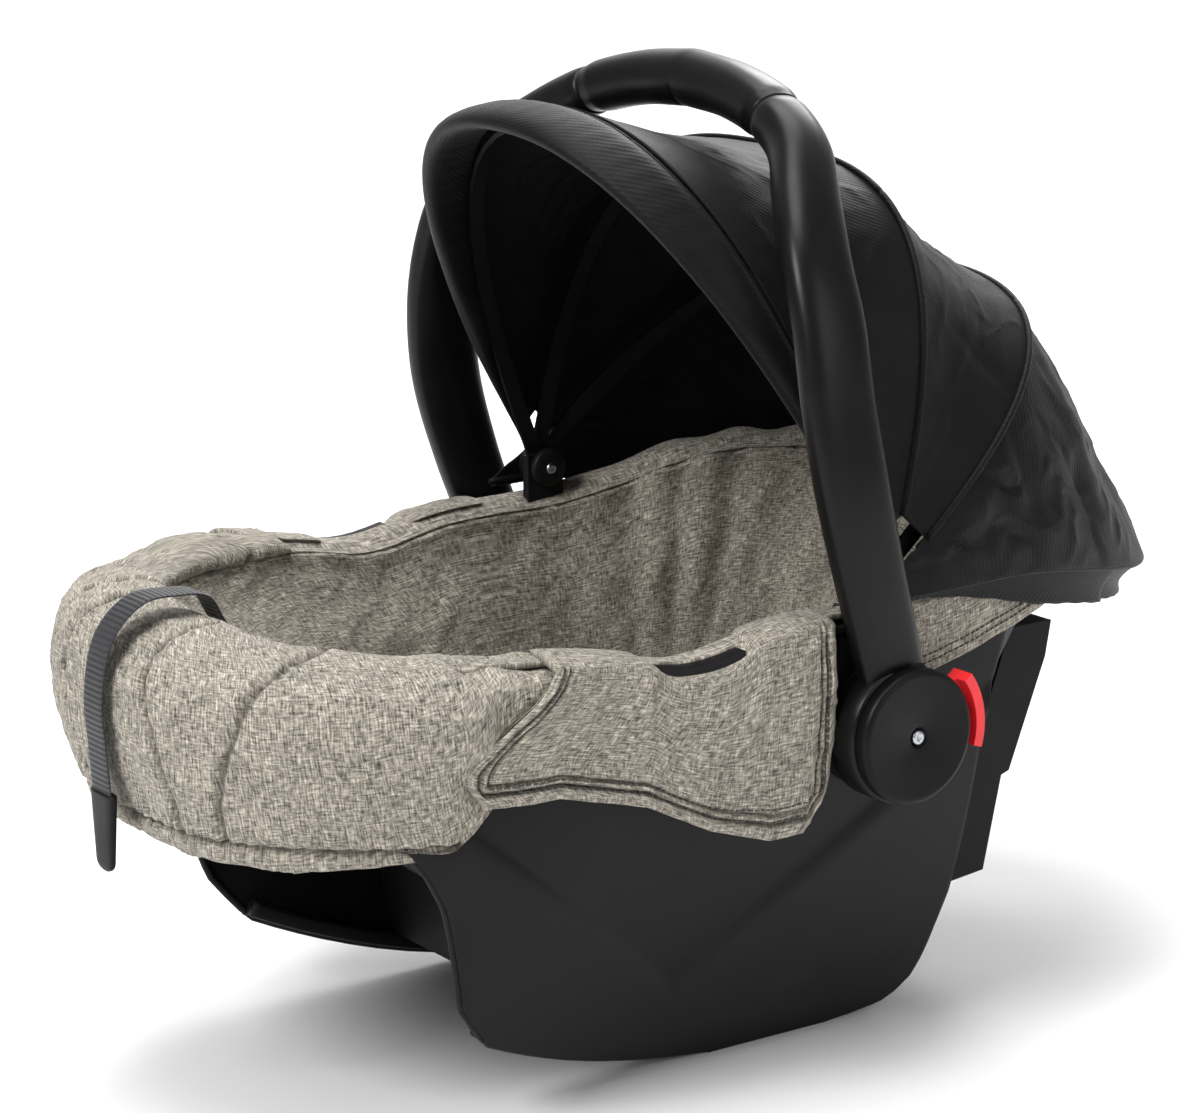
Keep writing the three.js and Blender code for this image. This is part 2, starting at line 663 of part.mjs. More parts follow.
function hubCover() {
  const edge = 3;
  return turned([[0, coverBack], [hubRadius, coverBack], [hubRadius, hubFace - edge],
    [hubRadius - 0.9, hubFace - 0.9], [hubRadius - edge, hubFace], [6, hubFace], [6, hubFace - 3],
    [0, hubFace - 3]], hubY, hubZ, 36);
}

// ---- Canopy --------------------------------------------------------------------------------
// Each bow is a superellipse arch in a plane through the pivot axis, leaned back by its angle.
const canopyArches = [
  { lean: -31, half: shellHalfWidth + 8, height: canopyHeight, shape: 2.3 },
  { lean: -22.5, half: shellHalfWidth + 10, height: canopyHeight - 16, shape: 2.35 },
  { lean: -21.8, half: shellHalfWidth + 11, height: canopyHeight - 17, shape: 2.38 },
  { lean: 13, half: shellHalfWidth + 16, height: canopyHeight - 64, shape: 3.1 },
  { lean: 49.5, half: shellHalfWidth + 20.5, height: canopyHeight - 72, shape: 2.9 },
];

// Point on one arch, grown inward by an inset; u runs from the left (0) to the right (1) base.
function archPoint(arch, u, inset = 0) {
  const turn = mix(3, 177, u) * Math.PI / 180;
  const x = (arch.half - inset) * power(Math.cos(turn), arch.shape);
  const r = (arch.height - inset) * Math.sin(turn) ** (2 / arch.shape);
  const tilt = arch.lean * Math.PI / 180;
  return V(x, canopyPivotY + r * Math.sin(tilt), canopyPivotZ + r * Math.cos(tilt));
}

// Cloth stretched straight between two arches, from one share of the way to another.
function canopySector(first, second, from, to, rows, thickness, columns = 26) {
  const point = (u, v, inset) => {
    const share = mix(from, to, v);
    return archPoint(first, u, inset).lerp(archPoint(second, u, inset), share);
  };
  return plate(columns, rows, (u, v) => point(u, v, 0), (u, v) => point(u, v, thickness));
}

// Lower edge of the canopy, around the head end.
function hemPoint(u, inset = 0) {
  const turn = mix(-2, 182, u) * Math.PI / 180;
  const shape = 2.25;
  const y = hubY + (hemRear - hubY - inset) * power(Math.sin(turn), shape);
  const x = (hemHalfWidth - inset) * power(Math.cos(turn), shape);
  return V(x, y, 277 - 33 * smooth((y - 120) / 230));
}

function rearPanel() {
  const start = { ...canopyArches[4], lean: canopyArches[4].lean + 0.8 };
  const point = (u, v, inset) => {
    const p = archPoint(start, u, inset).lerp(hemPoint(u, inset), v);
    const bulge = 5 * Math.sin(Math.PI * v) * Math.sin(Math.PI * u) ** 0.7;
    const away = V(p.x * 0.5, p.y - canopyPivotY, 60).normalize();
    return p.addScaledVector(away, bulge * (1 - v * 0.9));
  };
  return plate(26, 5, (u, v) => point(u, v, 0), (u, v) => point(u, v, fabricThickness));
}

// Flat bow: an arch just inside the cloth, ending in pierced round ends on the pivot screws.
function bow(arch, base, drop) {
  const tilt = arch.lean * Math.PI / 180;
  const outline = [[-0.5, -0.5], [0.5, -0.5], [0.5, 0.5], [-0.5, 0.5]].map(pair);
  const strip = loft(outline, 28, (k, x, y) => {
    const turn = k * Math.PI;
    const half = base + y * bowThickness;
    const high = arch.height - drop + y * bowThickness;
    const r = high * Math.sin(turn) ** (2 / arch.shape);
    return V(half * power(Math.cos(turn), arch.shape), x * bowWidth, r);
  });
  const eye = turned([[0, base - bowThickness / 2], [9, base - bowThickness / 2],
    [9, base + bowThickness / 2], [0, base + bowThickness / 2]], 0, 0, 28);
  const hole = disc(pivotScrewRadius + 0.5, base - 20, base + 20, 0, 0, 20);
  const holes = join(hole, mirrored(hole));
  const whole = cut(join(strip, eye, mirrored(eye)), holes);
  return whole.rotateX(-tilt).translate(0, canopyPivotY, canopyPivotZ);
}

function canopyClip() {
  const low = rimHeight(canopyPivotY + 13) + 0.6;
  const front = canopyPivotY - 13;
  const plateBody = block(clipFace - 6, clipFace, front, front + 26, low, canopyPivotZ + 8);
  const foot = block(clipFace - 6, clipFace + 14, front, front + 22, low, low + 3.5);
  const hole = disc(pivotScrewRadius + 0.3, clipFace - 20, clipFace + 20, canopyPivotY, canopyPivotZ, 20);
  return cut(join(plateBody, foot), hole);
}

function canopyScrew() {
  const head = clipFace + 12.4;
  return turned([[0, clipFace - 8], [pivotScrewRadius, clipFace - 8], [pivotScrewRadius, head],
    [6, head], [6, head + 2], [0, head + 2]], canopyPivotY, canopyPivotZ, 16);
}

// ---- Assembly ------------------------------------------------------------------------------
add('seat_shell', bucketShell(), blackPlastic);
addPair('side_panel', sidePanel(), blackPlastic);
add('cross_rib_front', crossRib(-96, 26, 130), blackPlastic);
add('cross_rib_rear', crossRib(84, 26, 130), blackPlastic);
add('rear_belt_guide', rearGuide(), blackPlastic);
addPair('lap_belt_guide', beltGuide(), blackPlastic);
add('foam_liner', bowlLayer(shellWall + 2.6, linerInset[0] - 2.5, 0.9), foamMaterial);
add('seat_liner', bowlLayer(...linerInset, 0.92), greyCloth);
add('foot_roll', footRoll(), greyCloth);
addPair('side_flap', sideFlap(), greyCloth);
add('head_cover', headCover(), greyCloth);

addPair('shoulder_strap', shoulderStrap(), webbing);
addPair('shoulder_pad', shoulderPad(), greyCloth);
const buckleTop = buckleFloor + buckleHeight;
const buckleBlock = block(-23, 23, 6, buckleRear, buckleFloor, buckleTop);
const buttonWell = block(-9, 9, 10, 30, buckleTop - 5 - buckleTravel, buckleTop + 6);
add('buckle_body', cut(buckleBlock, buttonWell), innerPlastic);
add('buckle_button', block(-8.5, 8.5, 10.5, 29.5, buckleTop - 4, buckleTop + buckleTravel), redPlastic);
const crotchLevel = buckleFloor + 3;
add('crotch_strap', block(-15, 15, -30, 6 - fitGap, crotchLevel, crotchLevel + strapThickness), webbing);
add('adjuster_strap', adjusterStrap(), webbing);
const tabTop = rimPoint(-Math.PI / 2, 28, -77);
const tab = block(-13, 13, tabTop.y - 3, tabTop.y + 3, tabTop.z - 44, tabTop.z - fitGap);
add('pull_tab', tab, innerPlastic);

addPair('handle_arm', handleArm(), blackPlastic);
add('handle_grip', grip(), blackPlastic);
addPair('hub_cover', hubCover(), blackPlastic);
addPair('hub_rivet', disc(4, hubFace - 2.6, hubFace, hubY, hubZ, 16), steel);
addPair('release_button', releaseButton(), redPlastic);
const boltHead = coverBack - 1.5 * fitGap;
const boltStart = panelX(hubY, hubZ) - 5;
addPair('pivot_bolt', disc(pivotBoltRadius, boltStart, boltHead, hubY, hubZ, 16), steel);
const gearRadius = housingInside - 2;
const plateStart = bossFace + 0.5;
const gearStart = bossFace + 5.3;
const gearHole = pivotBoltRadius + fitGap;
const plateDisc = toothedDisc(gearRadius, 3, 16, gearHole, plateStart, plateStart + 4);
const gearDisc = toothedDisc(gearRadius, 3, 16, gearHole, gearStart, gearStart + 5.7);
addPair('ratchet_plate', plateDisc, innerPlastic);
addPair('lock_gear', gearDisc, innerPlastic);
const springStart = gearStart + 6.3;
addPair('gear_spring', ring(11, 13, springStart, coverBack - 6.2, hubY, hubZ), steel);

const [rimArch, frontArch, seamArch, midArch, rearArch] = canopyArches;
const frontPanel = canopySector(seamArch, midArch, 0, 0.992, 5, fabricThickness);
const midPanel = canopySector(midArch, rearArch, 0.008, 0.99, 5, fabricThickness);
add('canopy_rim', canopySector(rimArch, frontArch, 0, 1, 3, rimThickness), blackCloth);
add('canopy_front_panel', frontPanel, blackCloth);
add('canopy_mid_panel', midPanel, blackCloth);
add('canopy_rear_panel', rearPanel(), blackCloth);
add('bow_front', bow(frontArch, clipFace + 1.7, 11), innerPlastic);
add('bow_mid', bow(midArch, clipFace + 5.6, 7), innerPlastic);
add('bow_rear', bow(rearArch, clipFace + 9, 8), innerPlastic);
addPair('canopy_clip', canopyClip(), innerPlastic);
addPair('canopy_screw', canopyScrew(), steel);

export default seat;
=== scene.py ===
"""Looks of the infant car seat: cloth, padding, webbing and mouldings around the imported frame."""

import math

import bmesh
import bpy
import numpy as np
from bpy.props import FloatProperty, IntProperty, PointerProperty, StringProperty
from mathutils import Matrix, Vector


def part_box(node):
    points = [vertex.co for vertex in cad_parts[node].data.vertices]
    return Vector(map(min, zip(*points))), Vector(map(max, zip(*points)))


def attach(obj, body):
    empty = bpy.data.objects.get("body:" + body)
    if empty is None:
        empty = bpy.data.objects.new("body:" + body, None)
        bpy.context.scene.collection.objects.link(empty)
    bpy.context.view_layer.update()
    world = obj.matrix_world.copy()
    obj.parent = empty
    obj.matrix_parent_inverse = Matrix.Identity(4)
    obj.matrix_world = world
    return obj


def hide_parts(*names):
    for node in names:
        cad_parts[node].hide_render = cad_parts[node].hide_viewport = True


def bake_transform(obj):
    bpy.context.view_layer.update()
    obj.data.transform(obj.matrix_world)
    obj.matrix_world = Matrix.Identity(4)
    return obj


bl_info = {
    "name": "Infant car seat looks",
    "version": (1, 0, 0),
    "blender": (4, 5, 0),
    "location": "3D View > Sidebar > Seat",
    "description": "Cloth, padding, webbing and mouldings of an infant car seat",
    "category": "Object",
}

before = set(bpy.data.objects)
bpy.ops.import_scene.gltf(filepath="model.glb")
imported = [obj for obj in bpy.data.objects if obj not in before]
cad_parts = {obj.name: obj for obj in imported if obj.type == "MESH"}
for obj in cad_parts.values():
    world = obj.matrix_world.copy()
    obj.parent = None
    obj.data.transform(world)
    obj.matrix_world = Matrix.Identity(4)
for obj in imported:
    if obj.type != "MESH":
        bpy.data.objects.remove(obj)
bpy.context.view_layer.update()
MM = 0.001


# ---- Places read from the frame, in millimetres -----------------------------------------------

def box_mm(node):
    """Lowest and highest corner of a CAD node, in millimetres."""
    low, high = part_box(node)
    return np.array(low) / MM, np.array(high) / MM


SHELL_LOW, SHELL_HIGH = box_mm("seat_shell")
FOOT_TIP, HEAD_TIP = SHELL_LOW[1], SHELL_HIGH[1]
FLANGE_HALF = SHELL_HIGH[0]
BUCKET_FLOOR = SHELL_LOW[2]
COVER_LOW, COVER_HIGH = box_mm("hub_cover_left")
HUB_Y, HUB_Z = (COVER_LOW[1:] + COVER_HIGH[1:]) / 2
HUB_FACE = COVER_HIGH[0]
HUB_RADIUS = (COVER_HIGH[2] - COVER_LOW[2]) / 2
COVER_BACK = COVER_LOW[0]
SCREW_LOW, SCREW_HIGH = box_mm("canopy_screw_left")
PIVOT_Y, PIVOT_Z = (SCREW_LOW[1:] + SCREW_HIGH[1:]) / 2
REAR_HIGH = box_mm("canopy_rear_panel")[1]
MIDDLE = (FOOT_TIP + HEAD_TIP) / 2
HALF_LENGTH = (HEAD_TIP - FOOT_TIP) / 2
PLAN_POWER = 2.7         # how square the rim is in plan; 2 is an ellipse
WALL = 3.2
FLANGE = 18.0
ROCKER_RADIUS = 490.0
ROCKER_MIDDLE = 25.0     # place along the seat where the rocker touches the floor
ROCKER_FLAT = (-22.0, 62.0)
# Canopy arches from the opening to the rear bow: lean in degrees, half width, height, squareness.
ARCHES = (
    (-31.0, 172.0, 284.0, 2.3),
    (-22.5, 174.0, 268.0, 2.35),
    (-21.8, 175.0, 267.0, 2.38),
    (13.0, 180.0, 220.0, 3.1),
    (49.5, 184.5, 212.0, 2.9),
)


# ---- Settings ---------------------------------------------------------------------------------

class SeatCloth(bpy.types.PropertyGroup):
    weave: FloatProperty(name="Thread spacing", description="Distance between threads of the grey weave",
                         default=0.9 * MM, unit="LENGTH")
    fold: FloatProperty(name="Fold depth", description="Depth of the loose folds in the canopy",
                        default=2.6 * MM, unit="LENGTH")
    gather: FloatProperty(name="Gather depth", description="Depth of the gathers in the liner",
                          default=3.4 * MM, unit="LENGTH")
    stitch: FloatProperty(name="Stitch length", description="Length of one topstitch",
                          default=3.0 * MM, unit="LENGTH")
    pressure: FloatProperty(name="Filling pressure", description="Pressure that swells the padding",
                            default=4.0)
    grey: StringProperty(name="Grey", description="Main colour of the melange weave", default="8e887d")
    black: StringProperty(name="Black", description="Colour of the canopy twill", default="0b0b0d")


class SeatPlastic(bpy.types.PropertyGroup):
    grain: FloatProperty(name="Grain", description="Width of the moulded grain",
                         default=0.7 * MM, unit="LENGTH")
    shell: StringProperty(name="Shell", description="Colour of the moulded shell", default="181618")
    handle: StringProperty(name="Handle", description="Colour of the handle", default="0c0c0d")
    button: StringProperty(name="Button", description="Colour of the release buttons", default="f0262d")


class SeatStage(bpy.types.PropertyGroup):
    azimuth: FloatProperty(name="Azimuth", description="Turn of the camera", default=math.radians(54.8),
                           subtype="ANGLE")
    elevation: FloatProperty(name="Elevation", description="Height of the camera",
                             default=math.radians(13.75), subtype="ANGLE")
    lens: FloatProperty(name="Lens", description="Focal length in millimetres", default=112.5)
    steps: IntProperty(name="Cloth frames", description="Frames of cloth simulation", default=18)


def cloth():
    """Settings of the cloth pieces."""
    return bpy.context.scene.seat_cloth


def plastic():
    """Settings of the moulded pieces."""
    return bpy.context.scene.seat_plastic


# ---- Small mathematics, all on whole arrays ----------------------------------------------------

def power(c, n):
    """Signed power that squares off a circle: |c| to the 2/n."""
    return np.sign(c) * np.abs(c) ** (2 / n)


def smooth(t):
    """Soft step from 0 to 1."""
    t = np.clip(t, 0, 1)
    return t * t * (3 - 2 * t)


def mix(a, b, t):
    """Value that is a share t of the way from a to b."""
    return a + (b - a) * t


def stack(x, y, z):
    """Points from three arrays that broadcast together."""
    return np.stack(np.broadcast_arrays(x, y, z), axis=-1).astype(float)


def parameters(columns, rows, closed=False):
    """Grid of two parameters from 0 to 1; a closed grid leaves out the repeated last column."""
    u = np.linspace(0, 1, columns, endpoint=not closed)
    v = np.linspace(0, 1, rows)
    return np.meshgrid(u, v)


def catmull(points, samples):
    """Centripetal Catmull-Rom curve through points, sampled evenly along its length."""
    p = np.asarray(points, float)
    p = np.vstack([2 * p[0] - p[1], p, 2 * p[-1] - p[-2]])
    knots = np.concatenate([[0], np.cumsum(np.linalg.norm(np.diff(p, axis=0), axis=1) ** 0.5)])
    count = 24
    out = []
    for i in range(1, len(p) - 2):
        t = np.linspace(knots[i], knots[i + 1], count, endpoint=False)[:, None]
        k = knots[i - 1:i + 3]
        a1 = (k[1] - t) / (k[1] - k[0]) * p[i - 1] + (t - k[0]) / (k[1] - k[0]) * p[i]
        a2 = (k[2] - t) / (k[2] - k[1]) * p[i] + (t - k[1]) / (k[2] - k[1]) * p[i + 1]
        a3 = (k[3] - t) / (k[3] - k[2]) * p[i + 1] + (t - k[2]) / (k[3] - k[2]) * p[i + 2]
        b1 = (k[2] - t) / (k[2] - k[0]) * a1 + (t - k[0]) / (k[2] - k[0]) * a2
        b2 = (k[3] - t) / (k[3] - k[1]) * a2 + (t - k[1]) / (k[3] - k[1]) * a3
        out.append((k[2] - t) / (k[2] - k[1]) * b1 + (t - k[1]) / (k[2] - k[1]) * b2)
    dense = np.vstack(out + [p[-2][None]])
    run = running_length(dense)
    place = np.linspace(0, run[-1], samples)
    return np.stack([np.interp(place, run, dense[:, i]) for i in range(3)], axis=1)


def tangents(path):
    """Unit direction of a path at each of its points."""
    t = np.gradient(path, axis=0)
    return t / np.linalg.norm(t, axis=1, keepdims=True)


def unit(vectors):
    """Vectors brought to a length of one."""
    return vectors / np.maximum(np.linalg.norm(vectors, axis=-1, keepdims=True), 1e-9)


def grid_normals(points):
    """Unit normal at each point of a grid of points."""
    return unit(np.cross(np.gradient(points, axis=1), np.gradient(points, axis=0)))


def running_length(path):
    """Length along a path up to each of its points."""
    return np.concatenate([[0], np.cumsum(np.linalg.norm(np.diff(path, axis=0), axis=1))])


# ---- Meshes -----------------------------------------------------------------------------------

def make_mesh(name, points, faces, weave=None):
    """Mesh object from points in millimetres, with an optional weave attribute in metres."""
    mesh = bpy.data.meshes.new(name)
    mesh.from_pydata((np.asarray(points).reshape(-1, 3) * MM).tolist(), [], faces)
    mesh.validate()
    if weave is not None:
        layer = mesh.attributes.new("weave", "FLOAT_VECTOR", "POINT")
        layer.data.foreach_set("vector", (np.asarray(weave).reshape(-1, 3) * MM).ravel())
    mesh.polygons.foreach_set("use_smooth", [True] * len(mesh.polygons))
    piece = bpy.data.objects.new(name, mesh)
    bpy.context.scene.collection.objects.link(piece)
    return piece


def grid_faces(rows, columns, around=False, along=False):
    """Quads of a grid, joined round in the columns (around) or in the rows (along) if asked."""
    r = np.arange(rows if along else rows - 1)[:, None]
    c = np.arange(columns if around else columns - 1)[None, :]
    a = r * columns + c
    b = r * columns + (c + 1) % columns
    d = ((r + 1) % rows) * columns + c
    e = ((r + 1) % rows) * columns + (c + 1) % columns
    return np.stack(np.broadcast_arrays(a, b, e, d), axis=-1).reshape(-1, 4)


def arc_lengths(points):
    """Running length along rows and along columns, used as thread coordinates of the weave."""
    du = np.linalg.norm(np.diff(points, axis=1), axis=-1)
    dv = np.linalg.norm(np.diff(points, axis=0), axis=-1)
    u = np.concatenate([np.zeros((points.shape[0], 1)), np.cumsum(du, axis=1)], axis=1)
    v = np.concatenate([np.zeros((1, points.shape[1])), np.cumsum(dv, axis=0)], axis=0)
    u = u - u[:, u.shape[1] // 2:u.shape[1] // 2 + 1]
    return stack(u, v, 0.0)


def outward(piece, merge=0.0):
    """Turns all faces outward on a closed mesh, after merging points closer than merge millimetres."""
    work = bmesh.new()
    work.from_mesh(piece.data)
    if merge:
        bmesh.ops.remove_doubles(work, verts=work.verts, dist=merge * MM)
    bmesh.ops.recalc_face_normals(work, faces=work.faces)
    work.to_mesh(piece.data)
    work.free()
    return piece


def sheet_mesh(name, points, thickness, side=-1.0, threads=None):
    """Cloth with a wall: a grid of outer points and the same grid moved along its normals by the
    thickness, joined round all four edges, so the sheet is one closed solid."""
    rows, columns = points.shape[:2]
    inner = points + side * thickness * grid_normals(points)
    lengths = arc_lengths(points) if threads is None else threads
    count = rows * columns
    faces = grid_faces(rows, columns)
    back = grid_faces(rows, columns)[:, ::-1] + count
    edge = np.concatenate([
        np.arange(columns - 1),
        np.arange(rows - 1) * columns + columns - 1,
        np.arange(columns - 1, 0, -1) + (rows - 1) * columns,
        np.arange(rows - 1, 0, -1) * columns,
    ])
    following = np.roll(edge, -1)
    walls = np.stack([edge, edge + count, following + count, following], axis=1)
    every = np.concatenate([faces, back, walls]).tolist()
    both = np.concatenate([points.reshape(-1, 3), inner.reshape(-1, 3)])
    weave = np.concatenate([lengths.reshape(-1, 3), lengths.reshape(-1, 3)])
    return outward(make_mesh(name, both, every, weave))


def tube_mesh(name, path, section, closed_path=False, across=None):
    """Tube: a section (points in two directions) carried along a path; across gives the first
    direction of each section, and the second is square to it and to the path."""
    path = np.asarray(path, float)
    t = tangents(path)
    if across is None:
        across = np.tile([1.0, 0.0, 0.0], (len(path), 1))
        level = np.abs((t * across).sum(1)) > 0.9
        across[level] = [0.0, 1.0, 0.0]
    a = across - (across * t).sum(1, keepdims=True) * t
    a /= np.linalg.norm(a, axis=1, keepdims=True)
    b = np.cross(t, a)
    section = np.asarray(section, float)
    if section.ndim == 2:
        section = np.tile(section, (len(path), 1, 1))
    points = path[:, None] + section[..., :1] * a[:, None] + section[..., 1:2] * b[:, None]
    rows, columns = points.shape[:2]
    faces = grid_faces(rows, columns, around=True, along=closed_path).tolist()
    if not closed_path:
        faces.append(list(range(columns)))
        faces.append([(rows - 1) * columns + i for i in range(columns - 1, -1, -1)])
    return outward(make_mesh(name, points, faces, arc_lengths(points)))


def circle(radius, sides=10):
    """Section of a round tube."""
    a = np.linspace(0, 2 * np.pi, sides, endpoint=False)
    return np.stack([np.cos(a), np.sin(a)], axis=1) * radius


def squircle(half_width, half_height, shape, sides=28):
    """Rounded rectangle: a circle squared off by its power."""
    a = np.linspace(0, 2 * np.pi, sides, endpoint=False)
    return np.stack([half_width * power(np.cos(a), shape), half_height * power(np.sin(a), shape)], axis=-1)


def turned_mesh(name, profile, y, z, sides=96, flip=False):
    """Round piece about an axis along X from (radius, x) pairs; flip puts it on the right side."""
    profile = np.asarray(profile, float)
    a = np.linspace(0, 2 * np.pi, sides, endpoint=False)[None, :]
    r, x = profile[:, :1], profile[:, 1:2]
    points = stack(x * (-1 if flip else 1) + 0 * a, y + r * np.cos(a), z + r * np.sin(a))
    faces = grid_faces(len(profile), sides, around=True).tolist()
    return outward(make_mesh(name, points, faces), merge=0.02)


def mirror(points):
    """The same points on the other side of the seat."""
    return points * np.array([-1.0, 1.0, 1.0])


def stitches(name, path, normal, length, gap=1.3, radius=0.5):
    """Topstitching: a row of small rounded bars laid along a path, each a bar of eight corners that
    stands a little proud of the cloth."""
    path = np.asarray(path, float)
    run = running_length(path)
    starts = np.arange(0, run[-1] - length, length + gap)
    at = lambda s: np.stack([np.interp(s, run, path[:, i]) for i in range(3)], axis=1)
    up = np.stack([np.interp(starts, run, np.asarray(normal)[:, i]) for i in range(3)], axis=1)
    a, b = at(starts), at(starts + length)
    side = unit(np.cross(unit(b - a), up))
    corners = []
    for end in (a, b):
        for s, h in ((-1, -0.5), (1, -0.5), (0.6, 0.9), (-0.6, 0.9)):
            corners.append(end + side * s * radius + up * h * radius)
    points = np.stack(corners, axis=1).reshape(-1, 3)
    base = np.arange(len(starts))[:, None, None] * 8
    box = np.array([[0, 1, 2, 3], [7, 6, 5, 4], [0, 4, 5, 1], [1, 5, 6, 2], [2, 6, 7, 3], [3, 7, 4, 0]])
    faces = (base + box[None]).reshape(-1, 4).tolist()
    return outward(make_mesh(name, points, faces))


# ---- Materials --------------------------------------------------------------------------------

def linear(code, alpha=1.0):
    """sRGB hex to linear colour."""
    parts = np.array([int(code[i:i + 2], 16) for i in (0, 2, 4)]) / 255
    low, high = parts / 12.92, ((parts + 0.055) / 1.055) ** 2.4
    return (*np.where(parts <= 0.04045, low, high).tolist(), alpha)


def tint(colour, share, lift=0.0):
    """The same colour at a share of its brightness, with a little light added."""
    return tuple(min(1.0, part * share + lift) for part in colour[:3]) + (1.0,)


def add(tree, kind, links=None, stops=(), **settings):
    """Adds a node: links are its sockets by name or number, each a value, a node or a node's output,
    and stops are the places and colours of a colour ramp."""
    node = tree.nodes.new(kind)
    for key, value in settings.items():
        setattr(node, key, value)
    if stops:
        first, *middle, last = stops
        elements = node.color_ramp.elements
        elements[0].position, elements[0].color = first
        elements[1].position, elements[1].color = last
        for place, colour in middle:
            elements.new(place).color = colour
    for key, value in (links or {}).items():
        if isinstance(value, bpy.types.Node):
            value = value.outputs[0]
        if isinstance(value, bpy.types.NodeSocket):
            tree.links.new(value, node.inputs[key])
        else:
            node.inputs[key].default_value = value
    return node


def new_material(name):
    """Empty node material and its tree."""
    material = bpy.data.materials.get(name) or bpy.data.materials.new(name)
    material.use_nodes = True
    material.node_tree.nodes.clear()
    return material, material.node_tree


def moulded_polypropylene(name, code, roughness, grain, wear=0.25, depth=0.12, shine=0.16):
    """Injection-moulded polypropylene: fine spark grain, cloudy gloss and rare scuffs."""
    material, tree = new_material(name)
    place = add(tree, "ShaderNodeTexCoord").outputs["Object"]
    fine = add(tree, "ShaderNodeTexNoise",
               {"Vector": place, "Scale": 1 / grain, "Detail": 3.0, "Roughness": 0.6})
    cloud = add(tree, "ShaderNodeTexNoise",
                {"Vector": place, "Scale": 18.0, "Detail": 4.0, "Roughness": 0.6})
    drawn = add(tree, "ShaderNodeMapping", {"Vector": place, "Scale": (1.0, 4.0, 0.6)})
    scuff = add(tree, "ShaderNodeTexNoise",
                {"Vector": drawn, "Scale": 60.0, "Detail": 6.0, "Roughness": 0.7})
    base = linear(code)
    colour = add(tree, "ShaderNodeValToRGB", {"Fac": cloud},
                 stops=[(0.3, tint(base, 0.84)), (0.55, base), (0.8, tint(base, 1.28, 0.003))])
    gloss = add(tree, "ShaderNodeMapRange", {"Value": cloud, "From Min": 0.3, "From Max": 0.7,
                                             "To Min": roughness - 0.05, "To Max": roughness + 0.06})
    marks = add(tree, "ShaderNodeMapRange", {"Value": scuff, "From Min": 0.62, "From Max": 0.75,
                                             "To Min": 0.0, "To Max": wear * 0.3})
    rough = add(tree, "ShaderNodeMath", {0: gloss, 1: marks}, operation="ADD")
    bump = add(tree, "ShaderNodeBump", {"Height": fine, "Strength": depth, "Distance": 0.0003})
    shader = add(tree, "ShaderNodeBsdfPrincipled", {"Base Color": colour, "Roughness": rough, "IOR": 1.49,
                                                    "Specular IOR Level": shine, "Normal": bump})
    add(tree, "ShaderNodeOutputMaterial", {"Surface": shader})
    return material


def melange_weave(name="Melange polyester weave"):
    """Polyester linen-look weave: slubby threads in two directions, each thread its own grey, and
    painted shade that darkens the cloth in the creases of the seams."""
    material, tree = new_material(name)
    place = add(tree, "ShaderNodeAttribute", attribute_name="weave").outputs["Vector"]
    threads_per_metre = 1 / cloth().weave
    fine, long = threads_per_metre * 0.8, threads_per_metre * 0.14
    fibres = {"Scale": 1.0, "Detail": 2.0, "Roughness": 0.6}
    along = add(tree, "ShaderNodeMapping", {"Vector": place, "Scale": (long, fine, 1.0)})
    warp = add(tree, "ShaderNodeTexNoise", {"Vector": along, **fibres})
    across = add(tree, "ShaderNodeMapping", {"Vector": place, "Scale": (fine, long, 1.0)})
    weft = add(tree, "ShaderNodeTexNoise", {"Vector": across, **fibres})
    drawn = add(tree, "ShaderNodeMapping", {"Vector": place, "Scale": (90.0, 1000.0, 1.0)})
    slub = add(tree, "ShaderNodeTexNoise", {"Vector": drawn, "Scale": 1.0, "Detail": 1.0, "Roughness": 0.5})
    cloud = add(tree, "ShaderNodeTexNoise", {"Vector": place, "Scale": 35.0, "Detail": 3.0, "Roughness": 0.6})
    shade = None
    for source, share in ((warp, 0.36), (weft, 0.36), (slub, 0.2), (cloud, 0.08)):
        part = add(tree, "ShaderNodeMath", {0: source, 1: share}, operation="MULTIPLY")
        if shade is None:
            shade = part
        else:
            shade = add(tree, "ShaderNodeMath", {0: shade, 1: part}, operation="ADD")
    grey = linear(cloth().grey)
    threads = add(tree, "ShaderNodeValToRGB", {"Fac": shade},
                  stops=[(0.37, tint(grey, 0.14)), (0.44, tint(grey, 0.5)), (0.5, tint(grey, 0.95)),
                         (0.56, tint(grey, 1.5)), (0.63, tint(grey, 2.4, 0.02))])
    # Painted shade: the seam attribute darkens the colour to a fifth of its brightness in seam creases and
    # gather troughs.
    seam = add(tree, "ShaderNodeAttribute", attribute_name="seam").outputs["Fac"]
    crease = add(tree, "ShaderNodeValToRGB", {"Fac": seam},
                 stops=[(0.0, (1.0, 1.0, 1.0, 1.0)), (0.45, (0.6, 0.59, 0.58, 1.0)),
                        (1.0, (0.2, 0.19, 0.18, 1.0))])
    colour = add(tree, "ShaderNodeMix", {"Factor": 1.0, "A": threads, "B": crease},
                 data_type="RGBA", blend_type="MULTIPLY").outputs["Result"]
    relief = add(tree, "ShaderNodeMath", {0: warp, 1: weft}, operation="MAXIMUM")
    bump = add(tree, "ShaderNodeBump", {"Height": relief, "Strength": 0.6, "Distance": 0.0009})
    shader = add(tree, "ShaderNodeBsdfPrincipled", {"Base Color": colour, "Roughness": 0.92, "IOR": 1.45,
                                                    "Sheen Weight": 0.08, "Sheen Roughness": 0.6,
                                                    "Specular IOR Level": 0.25, "Normal": bump})
    add(tree, "ShaderNodeOutputMaterial", {"Surface": shader})
    return material


